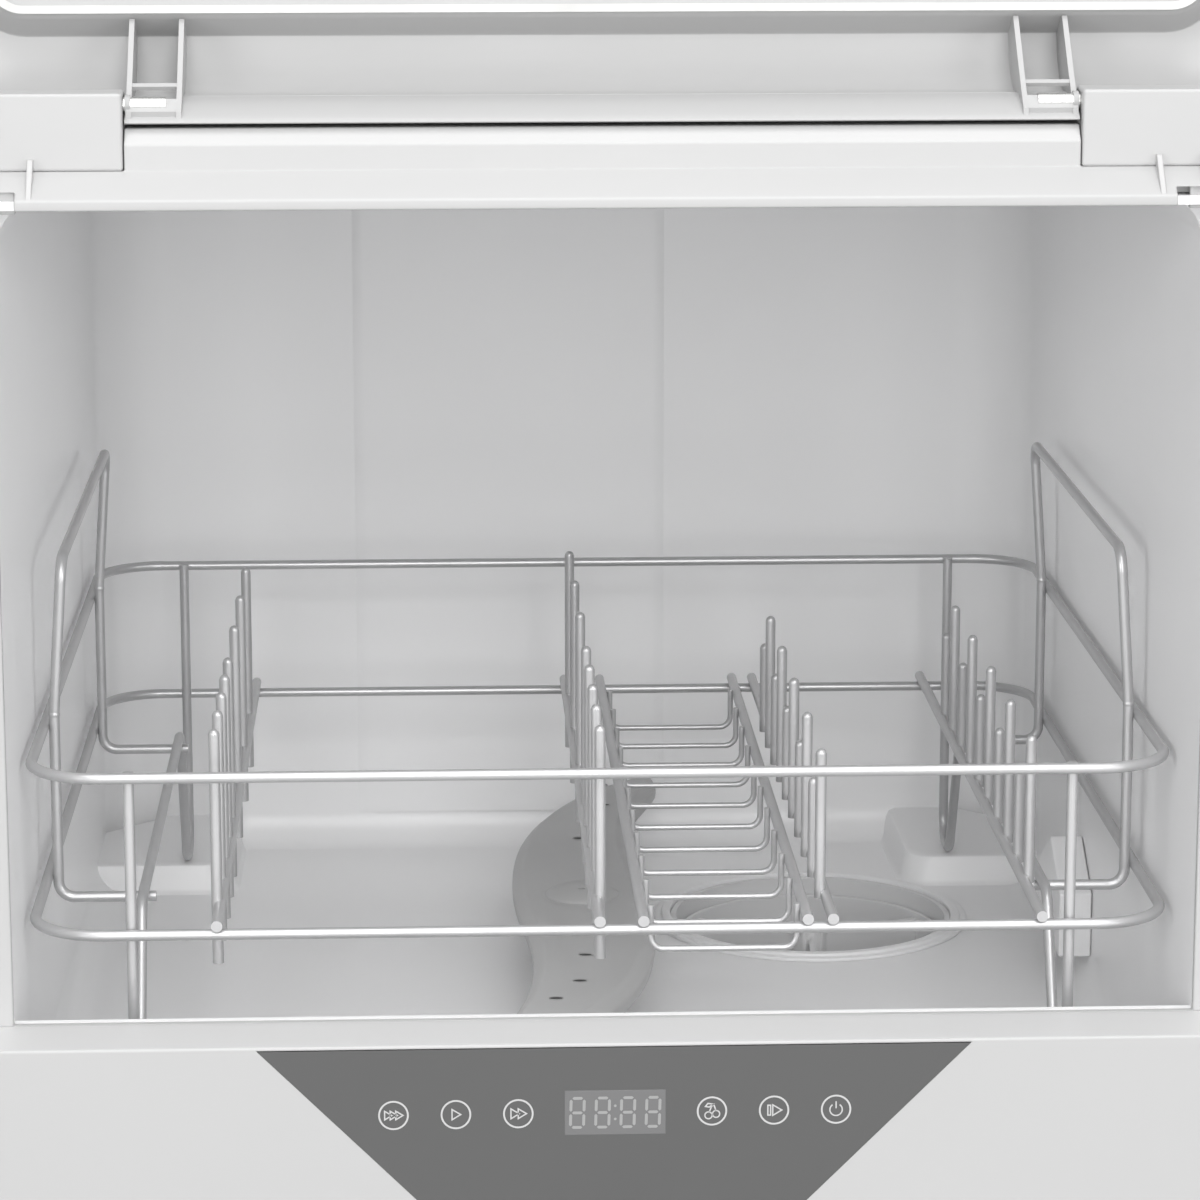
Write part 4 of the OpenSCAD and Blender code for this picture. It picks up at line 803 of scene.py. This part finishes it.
# each symbol is a list of lines about the key's centre; a closed line goes back to its start
symbols = {
    "triple": [(triangle(x, 0.0021), True) for x in (-0.0016, 0, 0.0016)],
    "single": [(triangle(0, 0.0025), True)],
    "double": [(triangle(x, 0.0024), True) for x in (-0.00105, 0.00105)],
    "fruit": [(circlePoints(-0.0010, -0.0013, 0.00105, steps=20), True),
              (circlePoints(0.0012, -0.0009, 0.00105, steps=20), True),
              ([(-0.0008, -0.0003), (-0.0002, 0.0012), (0.0004, 0.0021)], False),
              ([(0.0011, 0.0001), (0.0008, 0.0012), (0.0004, 0.0021)], False),
              ([(0.0004, 0.0021), (-0.0012, 0.0023), (-0.0019, 0.0014), (-0.0008, 0.0012)], True)],
    "start": [([(-0.0018, -0.0015), (-0.0010, -0.0015), (-0.0010, 0.0015), (-0.0018, 0.0015)], True),
              (triangle(0.0008, 0.0026), True)],
    "power": [(circlePoints(0, -0.0001, 0.0018, radians(125), radians(290), 28), False),
              ([(0, 0.0003), (0, 0.0024)], False)],
}


def buildPanel():
    low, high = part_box("control_panel")
    y0 = frontY + panel["printDepth"]
    middle, keyZ = (low.x + high.x) / 2, panel["keyZ"]
    # one grey film, with the display in front of it
    bm = bmesh.new()
    addPrism(bm, panelCorners(), y0, high.y)
    newPiece("panelFilm", bm, panelGrey, "control_panel")
    # a ring and a symbol for each key
    bm = bmesh.new()
    for place, kind in panel["keys"]:
        x = middle + place
        ring = circlePoints(x, keyZ, panel["keyR"], steps=40)
        addRibbon(bm, ring, panel["line"], frontY, y0, closed=True)
        for points, closed in symbols[kind]:
            line = [(x + right, keyZ + up) for right, up in points]
            addRibbon(bm, line, panel["thin"], frontY, y0, closed)
    newPiece("keyPrint", bm, inkWhite, "control_panel", replaces=False)


def buildDisplay():
    # a lighter window with unlit digits and a colon
    d = display
    low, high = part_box("display_window")
    face = frontY + panel["printDepth"] / 2
    bm = bmesh.new()
    addPrism(bm, [(low.x, low.z), (high.x, low.z), (high.x, high.z), (low.x, high.z)],
             face, frontY + panel["printDepth"] + d["paneBack"])
    newPiece("displayPane", bm, displayGlass, "display_window")

    bm = bmesh.new()
    centreZ = (low.z + high.z) / 2
    step = (high.x - low.x) / d["digits"]

    def segment(ax, az, bx, bz, x):
        # a bar with pointed ends between two corners of a digit
        a = Vector((x + ax + az * d["slant"], centreZ + az))
        b = Vector((x + bx + bz * d["slant"], centreZ + bz))
        along = (b - a).normalized()
        side = Vector((-along.y, along.x)) * d["bar"] / 2
        a = a + along * d["gap"]
        b = b - along * d["gap"]
        tip = along * d["bar"] / 2
        corners = (a, a + tip + side, b - tip + side, b, b - tip - side, a + tip - side)
        addPrism(bm, [tuple(corner) for corner in corners], frontY, face)

    w, h = d["wide"] / 2, d["high"] / 2
    for i in range(d["digits"]):
        centreX = low.x + step * (i + 0.5)
        for z in (-h, 0, h):
            segment(-w, z, w, z, centreX)
        for x in (-w, w):
            segment(x, -h, x, 0, centreX)
            segment(x, 0, x, h, centreX)
    for z in (-d["colon"], d["colon"]):
        dot = circlePoints(low.x + 2 * step, centreZ + z, d["dotR"], steps=12)
        addPrism(bm, dot, frontY, face)
    newPiece("displayDigits", bm, segmentLight, "display_window", replaces=False)


buildPanel()
buildDisplay()
print("control panel done")

# a lamp is its place, its size and its power; angles are in degrees, the lens in millimetres
studio = {
    "camera": (-0.0515, -1.3853, 0.5397), "yaw": 2.39, "pitch": -12.055, "roll": 0.034,
    "lens": 127.25, "sensor": 36, "nearest": 0.05,
    "floorSize": 8.0, "backY": 2.6, "bend": 1, "bendSteps": 12,
    "paper": (0.82, 0.82, 0.82), "paperBounce": 0.5, "world": 0.12, "sky": 0.8,
    "lampAim": (0, 0, 0.3),
    "lamps": {"topLamp": ((0, -1.1, 2.9), (2.4, 2.4), 66),
              "keyLamp": ((0.4, -4.6, 3.0), (3.0, 2.0), 100),
              "frontLamp": ((0, -5.5, 1.1), (2.0, 2.0), 76),
              "leftLamp": ((-3.9, -3.9, 1.0), (2.0, 2.0), 80),
              "rightLamp": ((3.9, -3.9, 1.0), (2.0, 2.0), 80),
              "backLamp": ((1.4, 2.1, 2.2), (1.6, 1.6), 26)},
}


def seenRay(net):
    # 1 for what the camera sees directly, in a reflection or through glass
    kinds = ("Is Camera Ray", "Is Glossy Ray", "Is Transmission Ray")
    direct, mirrored, through = (net.node("LightPath", out=kind) for kind in kinds)
    return direct.larger(mirrored.larger(through))


def paper(name, colour, bounce):
    # plain paper that throws less light back than it shows
    finish = Finish(name, colour, 0.9)
    finish.feed("Base Color", finish.tint(seenRay(finish), shade(colour, bounce), colour))
    return finish.material


def buildBackdrop():
    # a floor that bends up into a back wall
    s, b, r, steps = studio["floorSize"], studio["backY"], studio["bend"], studio["bendSteps"]
    angles = [pi / 2 * i / steps for i in range(steps + 1)]
    rows = [(-s, 0), *((b + r * sin(a), r * (1 - cos(a))) for a in angles), (b + r, s)]
    verts = [(x, y, z) for y, z in rows for x in (-s, s)]
    faces = [(2 * i, 2 * i + 1, 2 * i + 3, 2 * i + 2) for i in range(len(rows) - 1)]
    mesh = bpy.data.meshes.new("studioFloor")
    mesh.from_pydata(verts, [], faces)
    smoothFaces(mesh)
    floor = addObject("studioFloor", mesh)
    mesh.materials.append(paper("studioPaper", studio["paper"], studio["paperBounce"]))


def buildWorld():
    world = bpy.data.worlds.new("studioWorld")
    world.use_nodes = True
    net = NodeNet(world.node_tree)
    sky = net.tree.nodes["Background"]
    net.put(sky.inputs["Color"], (1, 1, 1, 1))
    net.put(sky.inputs["Strength"], studio["world"] + (studio["sky"] - studio["world"]) * seenRay(net))
    bpy.context.scene.world = world


def buildLamps():
    for name, (place, size, power) in studio["lamps"].items():
        light = bpy.data.lights.new(name, "AREA")
        light.shape = "RECTANGLE"
        light.size, light.size_y = size
        light.energy = power
        lamp = addObject(name, light)
        lamp.location = place
        towards = Vector(studio["lampAim"]) - Vector(place)
        lamp.rotation_euler = towards.to_track_quat("-Z", "Y").to_euler()


def buildCamera():
    camera = addObject("camera", bpy.data.cameras.new("camera"))
    camera.data.lens = studio["lens"]
    camera.data.sensor_width = studio["sensor"]
    camera.data.clip_start = studio["nearest"]
    camera.location = studio["camera"]
    yaw, pitch, roll = (radians(studio[k]) for k in ("yaw", "pitch", "roll"))
    tilt = Matrix.Rotation(pi / 2 + pitch, 3, "X") @ Matrix.Rotation(-roll, 3, "Z")
    camera.rotation_euler = (Matrix.Rotation(-yaw, 3, "Z") @ tilt).to_euler()
    bpy.context.scene.camera = camera


buildBackdrop()
buildWorld()
buildLamps()
buildCamera()
bpy.context.scene.view_settings.view_transform = "Standard"
print("studio done")
